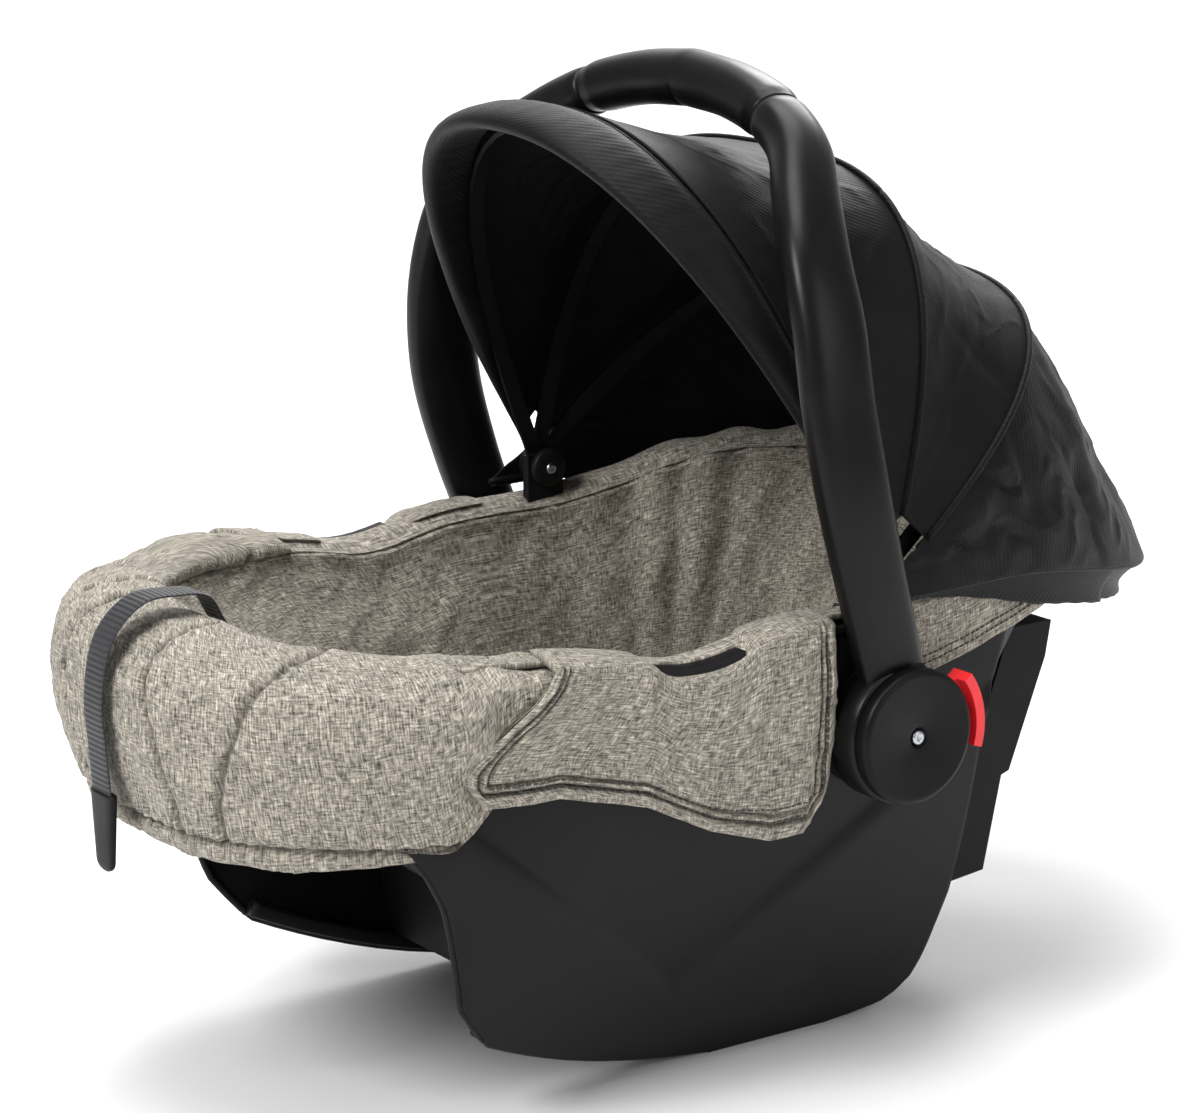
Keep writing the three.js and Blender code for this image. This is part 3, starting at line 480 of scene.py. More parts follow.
def canopy_twill(name="Black polyester twill"):
    """Fine black twill: diagonal ribs, a faint nap and a satin gloss on the raised folds."""
    material, tree = new_material(name)
    place = add(tree, "ShaderNodeAttribute", attribute_name="weave").outputs["Vector"]
    ribs = add(tree, "ShaderNodeTexWave", {"Vector": place, "Scale": 130.0, "Distortion": 0.8, "Detail": 1.0},
               wave_type="BANDS", bands_direction="DIAGONAL").outputs["Fac"]
    nap = add(tree, "ShaderNodeTexNoise", {"Vector": place, "Scale": 900.0, "Detail": 2.0, "Roughness": 0.6})
    patches = add(tree, "ShaderNodeTexNoise",
                  {"Vector": place, "Scale": 24.0, "Detail": 3.0, "Roughness": 0.5})
    base = linear(cloth().black)
    colour = add(tree, "ShaderNodeValToRGB", {"Fac": patches},
                 stops=[(0.35, tint(base, 0.8)), (0.5, base), (0.7, tint(base, 1.35))])
    rough = add(tree, "ShaderNodeMapRange", {"Value": nap, "From Min": 0.3, "From Max": 0.7,
                                             "To Min": 0.42, "To Max": 0.6})
    low = add(tree, "ShaderNodeMath", {0: ribs, 1: 0.6}, operation="MULTIPLY")
    height = add(tree, "ShaderNodeMath", {0: low, 1: nap}, operation="ADD")
    bump = add(tree, "ShaderNodeBump", {"Height": height, "Strength": 0.35, "Distance": 0.0004})
    shader = add(tree, "ShaderNodeBsdfPrincipled", {"Base Color": colour, "Roughness": rough, "IOR": 1.46,
                                                    "Sheen Weight": 0.03, "Sheen Roughness": 0.45,
                                                    "Specular IOR Level": 0.16, "Normal": bump})
    add(tree, "ShaderNodeOutputMaterial", {"Surface": shader})
    return material


def ribbed_webbing(name="Black polyester webbing"):
    """Flat woven webbing: ribs across the strap and fine yarn between them."""
    material, tree = new_material(name)
    place = add(tree, "ShaderNodeAttribute", attribute_name="weave").outputs["Vector"]
    ribs = add(tree, "ShaderNodeTexWave",
               {"Vector": place, "Scale": 100.0, "Distortion": 0.25, "Detail": 1.0},
               wave_type="BANDS", bands_direction="Y").outputs["Fac"]
    drawn = add(tree, "ShaderNodeMapping", {"Vector": place, "Scale": (1400.0, 300.0, 1.0)})
    yarn = add(tree, "ShaderNodeTexNoise", {"Vector": drawn, "Scale": 1.0, "Detail": 2.0, "Roughness": 0.6})
    half = add(tree, "ShaderNodeMath", {0: yarn, 1: 0.5}, operation="MULTIPLY")
    shade = add(tree, "ShaderNodeMath", {0: ribs, 1: 0.5, 2: half}, operation="MULTIPLY_ADD")
    colour = add(tree, "ShaderNodeValToRGB", {"Fac": shade},
                 stops=[(0.25, linear("08080a")), (0.55, linear("17171b")), (0.85, linear("2a2a31"))])
    height = add(tree, "ShaderNodeMath", {0: yarn, 1: 0.3, 2: ribs}, operation="MULTIPLY_ADD")
    bump = add(tree, "ShaderNodeBump", {"Height": height, "Strength": 0.7, "Distance": 0.0006})
    shader = add(tree, "ShaderNodeBsdfPrincipled", {"Base Color": colour, "Roughness": 0.6, "IOR": 1.5,
                                                    "Sheen Weight": 0.1, "Normal": bump})
    add(tree, "ShaderNodeOutputMaterial", {"Surface": shader})
    return material


def gloss_abs(name, code):
    """Glossy ABS moulding: even colour with faint flow marks."""
    material, tree = new_material(name)
    place = add(tree, "ShaderNodeTexCoord").outputs["Object"]
    flow = add(tree, "ShaderNodeTexNoise", {"Vector": place, "Scale": 90.0, "Detail": 3.0, "Roughness": 0.6})
    base = linear(code)
    colour = add(tree, "ShaderNodeValToRGB", {"Fac": flow}, stops=[(0.3, tint(base, 0.86)), (0.7, base)])
    rough = add(tree, "ShaderNodeMapRange", {"Value": flow, "To Min": 0.26, "To Max": 0.4})
    grain = add(tree, "ShaderNodeTexNoise", {"Vector": place, "Scale": 1500.0})
    bump = add(tree, "ShaderNodeBump", {"Height": grain, "Strength": 0.05, "Distance": 0.0002})
    shader = add(tree, "ShaderNodeBsdfPrincipled",
                 {"Base Color": colour, "Roughness": rough, "IOR": 1.53, "Normal": bump})
    add(tree, "ShaderNodeOutputMaterial", {"Surface": shader})
    return material


def plated_steel(name="Zinc plated steel"):
    """Plated steel fastener: bright, with turned rings and small scratches."""
    material, tree = new_material(name)
    place = add(tree, "ShaderNodeTexCoord").outputs["Object"]
    drawn = add(tree, "ShaderNodeMapping", {"Vector": place, "Scale": (1.0, 6.0, 1.0)})
    fine = add(tree, "ShaderNodeTexNoise", {"Vector": drawn, "Scale": 700.0, "Detail": 4.0, "Roughness": 0.7})
    colour = add(tree, "ShaderNodeValToRGB", {"Fac": fine},
                 stops=[(0.3, linear("9a9ca0")), (0.7, linear("d2d4d8"))])
    rough = add(tree, "ShaderNodeMapRange", {"Value": fine, "To Min": 0.2, "To Max": 0.42})
    bump = add(tree, "ShaderNodeBump", {"Height": fine, "Strength": 0.12, "Distance": 0.0001})
    shader = add(tree, "ShaderNodeBsdfPrincipled",
                 {"Base Color": colour, "Metallic": 1.0, "Roughness": rough, "Normal": bump})
    add(tree, "ShaderNodeOutputMaterial", {"Surface": shader})
    return material


def moulded_foam(name="Expanded polystyrene"):
    """Bead foam: rounded cells a few millimetres wide."""
    material, tree = new_material(name)
    place = add(tree, "ShaderNodeTexCoord").outputs["Object"]
    cells = add(tree, "ShaderNodeTexVoronoi", {"Vector": place, "Scale": 260.0})
    colour = add(tree, "ShaderNodeValToRGB", {"Fac": cells},
                 stops=[(0.0, linear("f2f0ea")), (0.8, linear("d9d6cd"))])
    bump = add(tree, "ShaderNodeBump", {"Height": cells, "Strength": 0.4, "Distance": 0.0008})
    shader = add(tree, "ShaderNodeBsdfPrincipled", {"Base Color": colour, "Roughness": 0.85, "Normal": bump})
    add(tree, "ShaderNodeOutputMaterial", {"Surface": shader})
    return material


def sewing_thread(name, code):
    """Polyester sewing thread: a soft twist along each stitch."""
    material, tree = new_material(name)
    place = add(tree, "ShaderNodeTexCoord").outputs["Object"]
    twist = add(tree, "ShaderNodeTexNoise",
                {"Vector": place, "Scale": 2200.0, "Detail": 2.0, "Roughness": 0.6})
    base = linear(code)
    colour = add(tree, "ShaderNodeValToRGB", {"Fac": twist}, stops=[(0.3, tint(base, 0.7)), (0.7, base)])
    shader = add(tree, "ShaderNodeBsdfPrincipled",
                 {"Base Color": colour, "Roughness": 0.7, "Sheen Weight": 0.2})
    add(tree, "ShaderNodeOutputMaterial", {"Surface": shader})
    return material


def dress(piece, material):
    """Gives a piece one material."""
    piece.data.materials.clear()
    piece.data.materials.append(material)
    return piece


def settle(piece, material, body, node=None):
    """Dresses a piece, parents it to the body that it rides on and hides the CAD node that it stands for."""
    dress(piece, material)
    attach(piece, body)
    if node:
        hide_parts(node)
    return piece


# ---- Shell surfaces, in millimetres -----------------------------------------------------------

def rim_height(y):
    """Height of the rim: low at the belt slot, higher from the hub to the head."""
    slot = np.exp(-(((y + 84) / 42) ** 2))
    return 264 + 24 * smooth((y - 40) / 150) - 11 * slot


def bucket(a, t, inset=0.0):
    """Outer surface of the bucket: angle a in plan, t from the floor (0) to the rim (1)."""
    side = np.sin(t * np.pi / 2) ** 0.95
    half = mix(62, FLANGE_HALF - FLANGE, side) - inset
    middle = mix(26, MIDDLE, t)
    foot = mix(70, MIDDLE - FOOT_TIP - FLANGE, t ** 0.92) - inset
    head = mix(92, HEAD_TIP - FLANGE - MIDDLE, t ** 0.86) - inset
    s = power(np.sin(a), PLAN_POWER)
    y = middle + np.where(s < 0, foot, head) * s
    x = half * power(np.cos(a), PLAN_POWER)
    return stack(x, y, mix(BUCKET_FLOOR + inset * 0.8, rim_height(y), t ** 1.25))


def rim_point(a, out, up):
    """Point beside the rim: out from the flange edge and up from the flange, at an angle in plan."""
    p = bucket(a, 1.0)
    c, s = power(np.cos(a), PLAN_POWER), power(np.sin(a), PLAN_POWER)
    nx = np.sign(c) * np.abs(c) ** (PLAN_POWER - 1) / (FLANGE_HALF - FLANGE)
    ny = np.sign(s) * np.abs(s) ** (PLAN_POWER - 1) / HALF_LENGTH
    size = np.hypot(nx, ny)
    x = p[..., 0] + FLANGE * c + nx / size * out
    y = p[..., 1] + FLANGE * s + ny / size * out
    return stack(x, y, p[..., 2] + up)


def rim_angle(y):
    """Angle in plan at which the left side of the rim reaches a place along the seat."""
    share = (y - MIDDLE) / HALF_LENGTH
    return np.arcsin(np.sign(share) * np.abs(share) ** (PLAN_POWER / 2))


def plan_half(y):
    """Half width of the flange at a place along the seat."""
    share = np.clip(np.abs(y - MIDDLE) / HALF_LENGTH, 0, 1)
    return FLANGE_HALF * (1 - share ** PLAN_POWER) ** (1 / PLAN_POWER)


def crease(y, z):
    """Shallow V pressed into the side panel: the surface below the V stands proud of it."""
    line = np.where(y > -70, 60 + (y + 70) * 0.72, 60 - (y + 70) * 0.82)
    return 5.0 * smooth((line - z) / 13 + 0.5)


def panel_x(y, z):
    """Side panel: leans out from the rail, then stands upright under the flange."""
    lean = 107 + 0.386 * z
    upright = plan_half(y) - 3
    soft = -12 * np.log(np.exp(-lean / 12) + np.exp(-upright / 12))
    return soft - 1.5 + crease(y, z) * smooth(z / 40)


def panel_front(z):
    """Front edge of the side panel: the rocker's arc, then the edge that leans to the toes."""
    arc = ROCKER_MIDDLE - np.sqrt(ROCKER_RADIUS ** 2 - (ROCKER_RADIUS - np.minimum(z, 52)) ** 2)
    high = np.interp(z, [52, 64, 76, 105, 140, 160, 178, 190, 206, 232, 262],
                     [-191, -201, -210, -218, -227, -237, -250, -256, -236, -190, -150])
    return np.where(z < 52, np.minimum(ROCKER_FLAT[0], arc), high)


def panel_rear(z):
    """Rear edge of the side panel: a short stretch of the rocker's arc, then the upright edge."""
    arc = ROCKER_MIDDLE + np.sqrt(ROCKER_RADIUS ** 2 - (ROCKER_RADIUS - np.minimum(z, 6)) ** 2)
    high = np.interp(z, [6, 12, 22, 46, 80, 150, 186, 206, 236, 262],
                     [103, 112, 119, 123, 127, 124, 124, 132, 142, 150])
    return np.where(z < 6, np.maximum(ROCKER_FLAT[1], arc), high)


# ---- Operators --------------------------------------------------------------------------------

class SEAT_OT_shell(bpy.types.Operator):
    """Moulded shell: side panels with rolled edges, bucket, ribs, guides and hidden hub parts"""
    bl_idname = "seat.shell"
    bl_label = "Shell"

    def execute(self, context):
        shell = moulded_polypropylene("Moulded polypropylene, fine grain", plastic().shell, 0.5,
                                      plastic().grain)
        inner = moulded_polypropylene("Moulded polyamide, dark", "141416", 0.45, plastic().grain * 0.8)
        for name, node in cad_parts.items():
            if name.startswith(("seat_shell", "cross_rib", "rear_belt", "lap_belt")):
                dress(node, shell)
            elif name.startswith(("canopy_clip", "ratchet", "lock_gear", "buckle_body", "pull_tab", "bow_")):
                dress(node, inner)
            elif name.startswith(("pivot_bolt", "gear_spring", "canopy_screw", "hub_rivet")):
                dress(node, plated_steel())
            elif name.startswith("foam"):
                dress(node, moulded_foam())
            elif name.startswith("side_panel"):
                dress(node, shell)
        for side, sign in (("left", 1), ("right", -1)):
            self.panel(side, sign, shell)
        return {"FINISHED"}

    def panel(self, side, sign, material):
        """Side panel: rows rise with height and columns run from its front edge to its rear edge;
        a 3.2 mm wall goes inward, and a bead follows the outline as the rolled edge does."""
        v = np.linspace(0, 1, 110)[:, None] ** 1.25
        z = 262 * v
        u = smooth(np.linspace(0, 1, 90)[None, :]) * 0.35 + np.linspace(0, 1, 90)[None, :] * 0.65
        y = mix(panel_front(z), panel_rear(z), u)
        z = np.minimum(z, rim_height(y) - WALL - 2)
        points = stack(panel_x(y, z), y, z)
        points[..., 2] = np.maximum(points[..., 2], 0.0)
        if sign < 0:
            points = mirror(points)
        skin = sheet_mesh(f"side_panel_skin_{side}", points, WALL, side=1.0 if sign > 0 else -1.0)
        settle(skin, material, "seat", f"side_panel_{side}")
        loop = np.concatenate([points[0, ::4], points[::3, -1][1:], points[-1, ::-4][1:],
                               points[::-3, 0][1:-1]])
        loop[:, 0] -= sign * 1.0
        loop[:, 2] = np.maximum(loop[:, 2], 2.3)
        bead = tube_mesh(f"side_panel_edge_{side}", loop, circle(2.3, 10), closed_path=True,
                         across=np.tile([1.0, 0.0, 0.0], (len(loop), 1)))
        settle(bead, material, "seat")
        inner = SCREW_LOW[0] + 2
        outline = [(0, inner), (11, inner), (12, inner - 1), (12, inner - 4.5), (11, inner - 5.5),
                   (5, inner - 6), (0, inner - 6)]
        knob = turned_mesh(f"canopy_knob_{side}", outline, PIVOT_Y, PIVOT_Z, 48, flip=sign < 0)
        settle(knob, bpy.data.materials["Moulded polyamide, dark"], "seat")
        outline = [(0, inner - 5), (3.6, inner - 5), (3.6, inner - 6.8), (2.6, inner - 7.6),
                   (0.8, inner - 7.8), (0, inner - 7)]
        screw = turned_mesh(f"canopy_screw_head_{side}", outline, PIVOT_Y, PIVOT_Z, 32, flip=sign < 0)
        settle(screw, plated_steel(), "seat")
        outline = [(0, 168), (37, 168), (37, 183.6), (36, 184.6), (0, 184.6)]
        boss = turned_mesh(f"hub_boss_{side}", outline, HUB_Y, HUB_Z, flip=sign < 0)
        settle(boss, material, "seat")
        rail = self.rail(side, sign)
        settle(rail, material, "seat")

    def rail(self, side, sign):
        """Foot rail: a flat bar along the rocker's bottom edge, thick where it touches the floor."""
        y = np.linspace(-190, 100, 90)
        flat = np.clip(y, *ROCKER_FLAT)
        away = np.minimum(np.abs(y - flat), 250)
        z = ROCKER_RADIUS - np.sqrt(ROCKER_RADIUS ** 2 - away ** 2 * 0.93)
        z = np.where(y == flat, 0.0, z)
        arc = ROCKER_RADIUS - np.sqrt(ROCKER_RADIUS ** 2 - (y - ROCKER_MIDDLE) ** 2)
        z = np.maximum(z, arc * (y < ROCKER_FLAT[0]))
        path = stack((panel_x(y, z + 5) - 7.5) * sign, y, z + 6.2)
        return tube_mesh(f"foot_rail_{side}", path, squircle(5.5, 5.0, 4.0),
                         across=np.tile([1.0, 0.0, 0.0], (len(y), 1)))


# Middle line of one half of the handle, from the pivot: across, along and up.
HANDLE_POINTS = [
    (195.5, 0, 16), (197, -9, 46), (200.5, -24, 90), (201.5, -38, 140), (196.5, -45, 188),
    (187.5, -45, 228), (171.5, -42, 262), (147.5, -30, 291), (119, -13, 314), (86, -4, 329),
    (44, 1, 339), (0, 2, 343),
]
GRIP_SEAM = 0.808        # share of the way from the pivot to the middle of the grip
BUTTON_MIDDLE = 11.0     # degrees above level, seen from the pivot
ROOM_RADIUS = 33.0       # radius of the housing behind the button


def handle_rows(k_low, k_high, rows, swell=0.0, sides=36):
    """Handle surface: a rounded section carried along the arch; k is the share of the way from the
    hub (0) to the middle of the grip (1), and the section grows rounder towards the grip."""
    line = catmull(HANDLE_POINTS, 401)
    t_line = tangents(line)
    k = np.linspace(k_low, k_high, rows)
    share = np.linspace(0, 1, len(line))
    p, t = (np.stack([np.interp(k, share, table[:, i]) for i in range(3)], axis=1) for table in (line, t_line))
    t /= np.linalg.norm(t, axis=1, keepdims=True)
    ahead = np.array([0.0, 1.0, 0.0]) - t[:, 1:2] * t
    ahead /= np.linalg.norm(ahead, axis=1, keepdims=True)
    out = np.cross(ahead, t)
    wide = np.interp(k, [0, 0.12, 0.3, 0.5, 0.75, 1], [40, 42, 46, 44, 35, 32]) / 2 + swell
    thick = np.interp(k, [0, 0.2, 0.4, 0.75, 1], [20, 21, 23, 29, 32]) / 2 + swell
    shape = np.interp(k, [0, 0.5, 1], [2.9, 2.6, 2.15])[:, None]
    a = np.linspace(0, 2 * np.pi, sides, endpoint=False)[None, :]
    first = wide[:, None] * power(np.cos(a), shape)
    second = thick[:, None] * power(np.sin(a), shape)
    points = p[:, None] + first[..., None] * ahead[:, None] + second[..., None] * out[:, None]
    return points + np.array([0.0, HUB_Y, HUB_Z])


def capped(name, points):
    """Closed tube from rows of section points, with flat end caps and its threads along and round."""
    rows, columns = points.shape[:2]
    faces = grid_faces(rows, columns, around=True).tolist()
    faces.append(list(range(columns)))
    faces.append([(rows - 1) * columns + i for i in range(columns - 1, -1, -1)])
    return outward(make_mesh(name, points, faces, arc_lengths(points)))


class SEAT_OT_handle(bpy.types.Operator):
    """Carry handle: two arms with hub housings, a grip between two seams, hub covers and buttons"""
    bl_idname = "seat.handle"
    bl_label = "Handle"

    def execute(self, context):
        satin = moulded_polypropylene("Moulded polyamide, satin", plastic().handle, 0.33, plastic().grain,
                                      wear=0.5, depth=0.05, shine=0.2)
        disc = moulded_polypropylene("Moulded ABS, fine matt", "0c0c0e", 0.42, plastic().grain * 0.6,
                                     depth=0.06)
        red = gloss_abs("Red ABS", plastic().button)
        self.grip(satin)
        for side, sign in (("left", 1), ("right", -1)):
            self.arm(side, sign, satin)
            self.hub(side, sign, satin, disc, red)
        dress(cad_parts["buckle_button"], red)
        return {"FINISHED"}

    def grip(self, material):
        """Grip: the arch from seam to seam, a little fatter than the arms, with eased ends."""
        half = handle_rows(GRIP_SEAM + 0.0015, 1.0, 46, 0.0)
        ease = smooth(np.linspace(0, 1, 46) * 9)[:, None, None]
        middle = half.mean(axis=1, keepdims=True)
        half = middle + (half - middle) * (0.955 + 0.085 * ease)
        other = mirror(half)[::-1][1:]
        piece = capped("handle_grip_sleeve", np.concatenate([half, other]))
        settle(piece, material, "handle", "handle_grip")

    def arm(self, side, sign, material):
        """Arm: the arch from the hub to the seam, its end eased into a fine groove at the grip."""
        points = handle_rows(0.0, GRIP_SEAM, 120)
        ease = smooth((1 - np.linspace(0, 1, 120)) * 70)[:, None, None]
        middle = points.mean(axis=1, keepdims=True)
        points = middle + (points - middle) * (0.955 + 0.045 * ease)
        if sign < 0:
            points = mirror(points)
        piece = capped(f"handle_arm_skin_{side}", points)
        settle(piece, material, "handle", f"handle_arm_{side}")

    def make_room(self, housing):
        """Hollows the housing's rim behind the red button, which slides 4 mm toward the pivot."""
        points = points_of(housing)
        arm = points[:, 1:] - (HUB_Y, HUB_Z)
        radius = np.hypot(arm[:, 0], arm[:, 1])
        turn = np.degrees(np.arctan2(arm[:, 1], arm[:, 0]))
        share = smooth((62 - np.abs(turn - BUTTON_MIDDLE)) / 8)
        wanted = mix(radius, np.minimum(radius, ROOM_RADIUS), share)
        points[:, 1:] = (HUB_Y, HUB_Z) + arm * (wanted / radius)[:, None]
        put_points(housing, points)

    def hub(self, side, sign, satin, disc, red):
        """Hub: a housing behind, a round cover with an eased edge in front, a rivet, and a red
        button as a slice of a ring behind the cover's rear edge."""
        back, face, r = COVER_BACK, HUB_FACE, HUB_RADIUS
        outline = [(27, 185.2), (38.8, 185.2), (40, 186.4), (40, back - 1.6), (39, back - 0.5),
                   (27, back - 0.5), (27, 185.2)]
        housing = turned_mesh(f"hub_housing_{side}", outline, HUB_Y, HUB_Z, flip=sign < 0)
        self.make_room(housing)
        outline = [(0, back), (r - 0.6, back), (r, back + 0.6), (r, face - 3.4), (r - 0.35, face - 2),
                   (r - 1.2, face - 0.9), (r - 2.4, face - 0.25), (r - 3.6, face), (r - 4.4, face - 0.15),
                   (7, face - 0.15), (6, face - 0.6), (5.4, face - 2.6), (0, face - 2.8)]
        cover = turned_mesh(f"hub_cover_skin_{side}", outline, HUB_Y, HUB_Z, flip=sign < 0)
        outline = [(0, face - 3), (4.1, face - 3), (4.1, face - 1.0), (3.6, face - 0.3), (2.4, face),
                   (1.2, face - 0.2), (0.9, face - 0.8), (0, face - 0.9)]
        rivet = turned_mesh(f"hub_rivet_head_{side}", outline, HUB_Y, HUB_Z, 48, flip=sign < 0)
        for piece, material, slot, node in ((housing, satin, "black_plastic", None),
                                            (cover, disc, "black_plastic", f"hub_cover_{side}"),
                                            (rivet, plated_steel(), "steel", f"hub_rivet_{side}")):
            settle(piece, material, "handle", node)
        dress(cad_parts[f"release_button_{side}"], red)


def arch_point(arch, u, inset=0.0):
    """Point on a canopy arch: a superellipse in a plane that leans about the pivot axis."""
    lean, half, height, shape = arch
    turn = np.radians(mix(3, 177, u))
    x = (half - inset) * power(np.cos(turn), shape)
    r = (height - inset) * np.sin(turn) ** (2 / shape)
    tilt = math.radians(lean)
    return stack(x, PIVOT_Y + r * math.sin(tilt), PIVOT_Z + r * math.cos(tilt))


def hem_point(u, inset=0.0):
    """Lower edge of the canopy round the head end: a superellipse that dips to the rear."""
    turn = np.radians(mix(-2, 182, u))
    y = HUB_Y + (REAR_HIGH[1] - HUB_Y - inset) * power(np.sin(turn), 2.25)
    x = (REAR_HIGH[0] - inset) * power(np.cos(turn), 2.25)
    return stack(x, y, 277 - 33 * smooth((y - 120) / 230))


def crumple(points, wavelength, seed):
    """Soft creases of loose cloth: seven waves in seeded directions, each bent by the one before, with
    the crest of every wave sharpened; from -1 to 1."""
    rng = np.random.default_rng(seed)
    total, last = np.zeros(points.shape[:-1]), np.zeros(points.shape[:-1])
    for number in range(7):
        way = rng.normal(size=3)
        way /= np.linalg.norm(way) * wavelength * rng.uniform(0.6, 1.7)
        last = np.sin(2 * np.pi * (points @ way) + rng.uniform(0, 6.28) + 1.4 * last)
        total += (1 - 2 * np.abs(last) ** 0.8) / 7
    return total * 1.6


def folds(u, v, count, seed):
    """Loose folds: waves that run from seam to seam, bend a little and fade towards the seams."""
    rng = np.random.default_rng(seed)
    total = np.zeros(np.broadcast(u, v).shape)
    for i in range(count):
        centre, width = rng.uniform(0.04, 0.96), rng.uniform(0.012, 0.04)
        slant, height = rng.uniform(-0.14, 0.14), rng.uniform(-1, 1)
        reach = rng.uniform(0.35, 0.9)
        start = rng.uniform(0, 1)
        line = centre + slant * (v - 0.5)
        total += height * np.exp(-(((u - line) / width) ** 2)) * np.exp(-(((v - start) / reach) ** 2))
    return total


class SEAT_OT_canopy(bpy.types.Operator):
    """Canopy: padded rim, three cloth panels between the bows, piping on the seams and a skirt"""
    bl_idname = "seat.canopy"
    bl_label = "Canopy"

    def execute(self, context):
        twill = canopy_twill()
        self.rim(twill)
        deep = cloth().fold / MM
        front, seam, mid, rear = ARCHES[1:]
        self.panel("canopy_front_cloth", seam, mid, "canopy_front_panel", ("mid_bow", "front_bow"), 5, 16,
                   deep, twill)
        self.panel("canopy_mid_cloth", mid, rear, "canopy_mid_panel", ("rear_bow", "mid_bow"), 6, 18,
                   deep * 1.3, twill)
        self.rear(twill, deep)
        u = np.linspace(0, 1, 160)
        self.piping("canopy_mid_piping", arch_point(mid, u, -1.4), 2.1, "mid_bow", twill)
        self.piping("canopy_rear_piping", arch_point(rear, u, -1.4), 2.1, "rear_bow", twill)
        self.piping("canopy_front_piping", arch_point(front, u, -0.2), 1.3, "front_bow", twill)
        hem = hem_point(np.linspace(0, 1, 200), 1.2)
        self.piping("canopy_hem_piping", hem, 2.0, "seat", twill)
        self.skirt(twill)
        return {"FINISHED"}

    def rim(self, material):
        """Rim: a flat padded tube between the opening edge and the first seam, carried round the
        arch, with small puckers along the stitching."""
        u = np.linspace(0, 1, 220)[:, None]
        edge, seam = arch_point(ARCHES[0], u, 1.5), arch_point(ARCHES[1], u, 0.5)
        a = np.linspace(0, 2 * np.pi, 28, endpoint=False)[None, :]
        across = (edge - seam) / 2
        centre = (edge + seam) / 2
        pivot = np.array([0.0, PIVOT_Y, PIVOT_Z])
        reach = centre - pivot
        along = np.gradient(centre, axis=0)
        out = unit(np.cross(across, along))
        out *= np.sign((out * reach).sum(-1, keepdims=True))
        pucker = 0.12 * np.sin(u * 2 * np.pi * 46) * np.sin(a) ** 2 + 0.5 * folds(u, a / 6.3, 40, 4)
        thick = 5.6 * smooth(u * 9) * smooth((1 - u) * 9) + 1.6
        points = centre + across * (power(np.cos(a), 2.6)[..., None]) \
            + out * ((thick + pucker) * power(np.sin(a), 2.2) - 1.2)[..., None]
        piece = capped("canopy_rim_cloth", points)
        settle(piece, material, "front_bow", "canopy_rim")

    def panel(self, name, first, second, node, bodies, sag, count, deep, material):
        """Panel: cloth stretched between two arches; it sags between them and carries loose folds
        that fade out at both seams."""
        u, v = parameters(260, 70)
        points = mix(arch_point(first, u, 0.3), arch_point(second, u, 0.3), v[..., None])
        pivot = np.array([0.0, PIVOT_Y, PIVOT_Z])
        away = unit((points - pivot) * (0.6, 1.0, 1.0))
        hold = np.sin(np.pi * v) ** 0.6
        wide = np.sin(np.pi * np.clip(u, 0.0, 1.0)) ** 0.5
        loose = 0.6 * folds(u, v, count * 2, len(name)) + 0.35 * crumple(points, 70.0, count)
        shift = -sag * np.sin(np.pi * v) * wide + deep * loose * hold * wide
        points = points + away * shift[..., None]
        piece = sheet_mesh(name, points, 1.3)
        dress(piece, material)
        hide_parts(node)
        front, rear = arch_point(first, np.array(0.5)), arch_point(second, np.array(0.5))
        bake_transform(piece)

    def rear(self, material, deep):
        """Rear panel: from the rear arch down to the hem, drawn in over the middle and loose and
        folded above the hem."""
        u, v = parameters(280, 70)
        points = mix(arch_point(ARCHES[4], u, 0.3), hem_point(u, 0.6), v[..., None])
        away = unit(points - (0.0, PIVOT_Y + 40, PIVOT_Z - 60))
        wide = np.sin(np.pi * u) ** 0.5
        bulge = 5 * np.sin(np.pi * v) - 3 * np.exp(-(((v - 0.6) / 0.14) ** 2))
        loose = np.abs(folds(u, v, 44, 11)) ** 0.8 * 1.3 + 0.5 * crumple(points, 60.0, 12)
        shift = bulge * wide + deep * loose * np.sin(np.pi * v) ** 0.6
        points = points + away * shift[..., None]
        piece = sheet_mesh("canopy_rear_cloth", points, 1.3)
        dress(piece, material)
        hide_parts("canopy_rear_panel")
        top, low = arch_point(ARCHES[4], np.array(0.5)), hem_point(np.array(0.5))
        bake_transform(piece)

    def piping(self, name, path, radius, body, material):
        """Piping: a round cord in cloth along a seam."""
        piece = tube_mesh(name, path, circle(radius, 12))
        settle(piece, material, body)

    def skirt(self, material):
        """Skirt: a band that hangs under the hem and tucks in over the rim's outside."""
        u, v = parameters(240, 12)
        top = hem_point(u, 1.5)
        inward = 1 - 0.05 * v - 0.02 * np.sin(np.pi * v)
        points = top.copy()
        points[..., 0] *= np.where(np.abs(points[..., 0]) > 150, 1 - 0.008 * v, inward)
        points[..., 1] = HUB_Y + (top[..., 1] - HUB_Y) * inward
        points[..., 2] -= 17 * v * smooth((top[..., 1] - 60) / 120) + 3 * v
        points[..., 2] += 0.25 * np.sin(u * 2 * np.pi * 38) * v
        piece = sheet_mesh("canopy_skirt", points, 1.2)
        settle(piece, material, "seat")


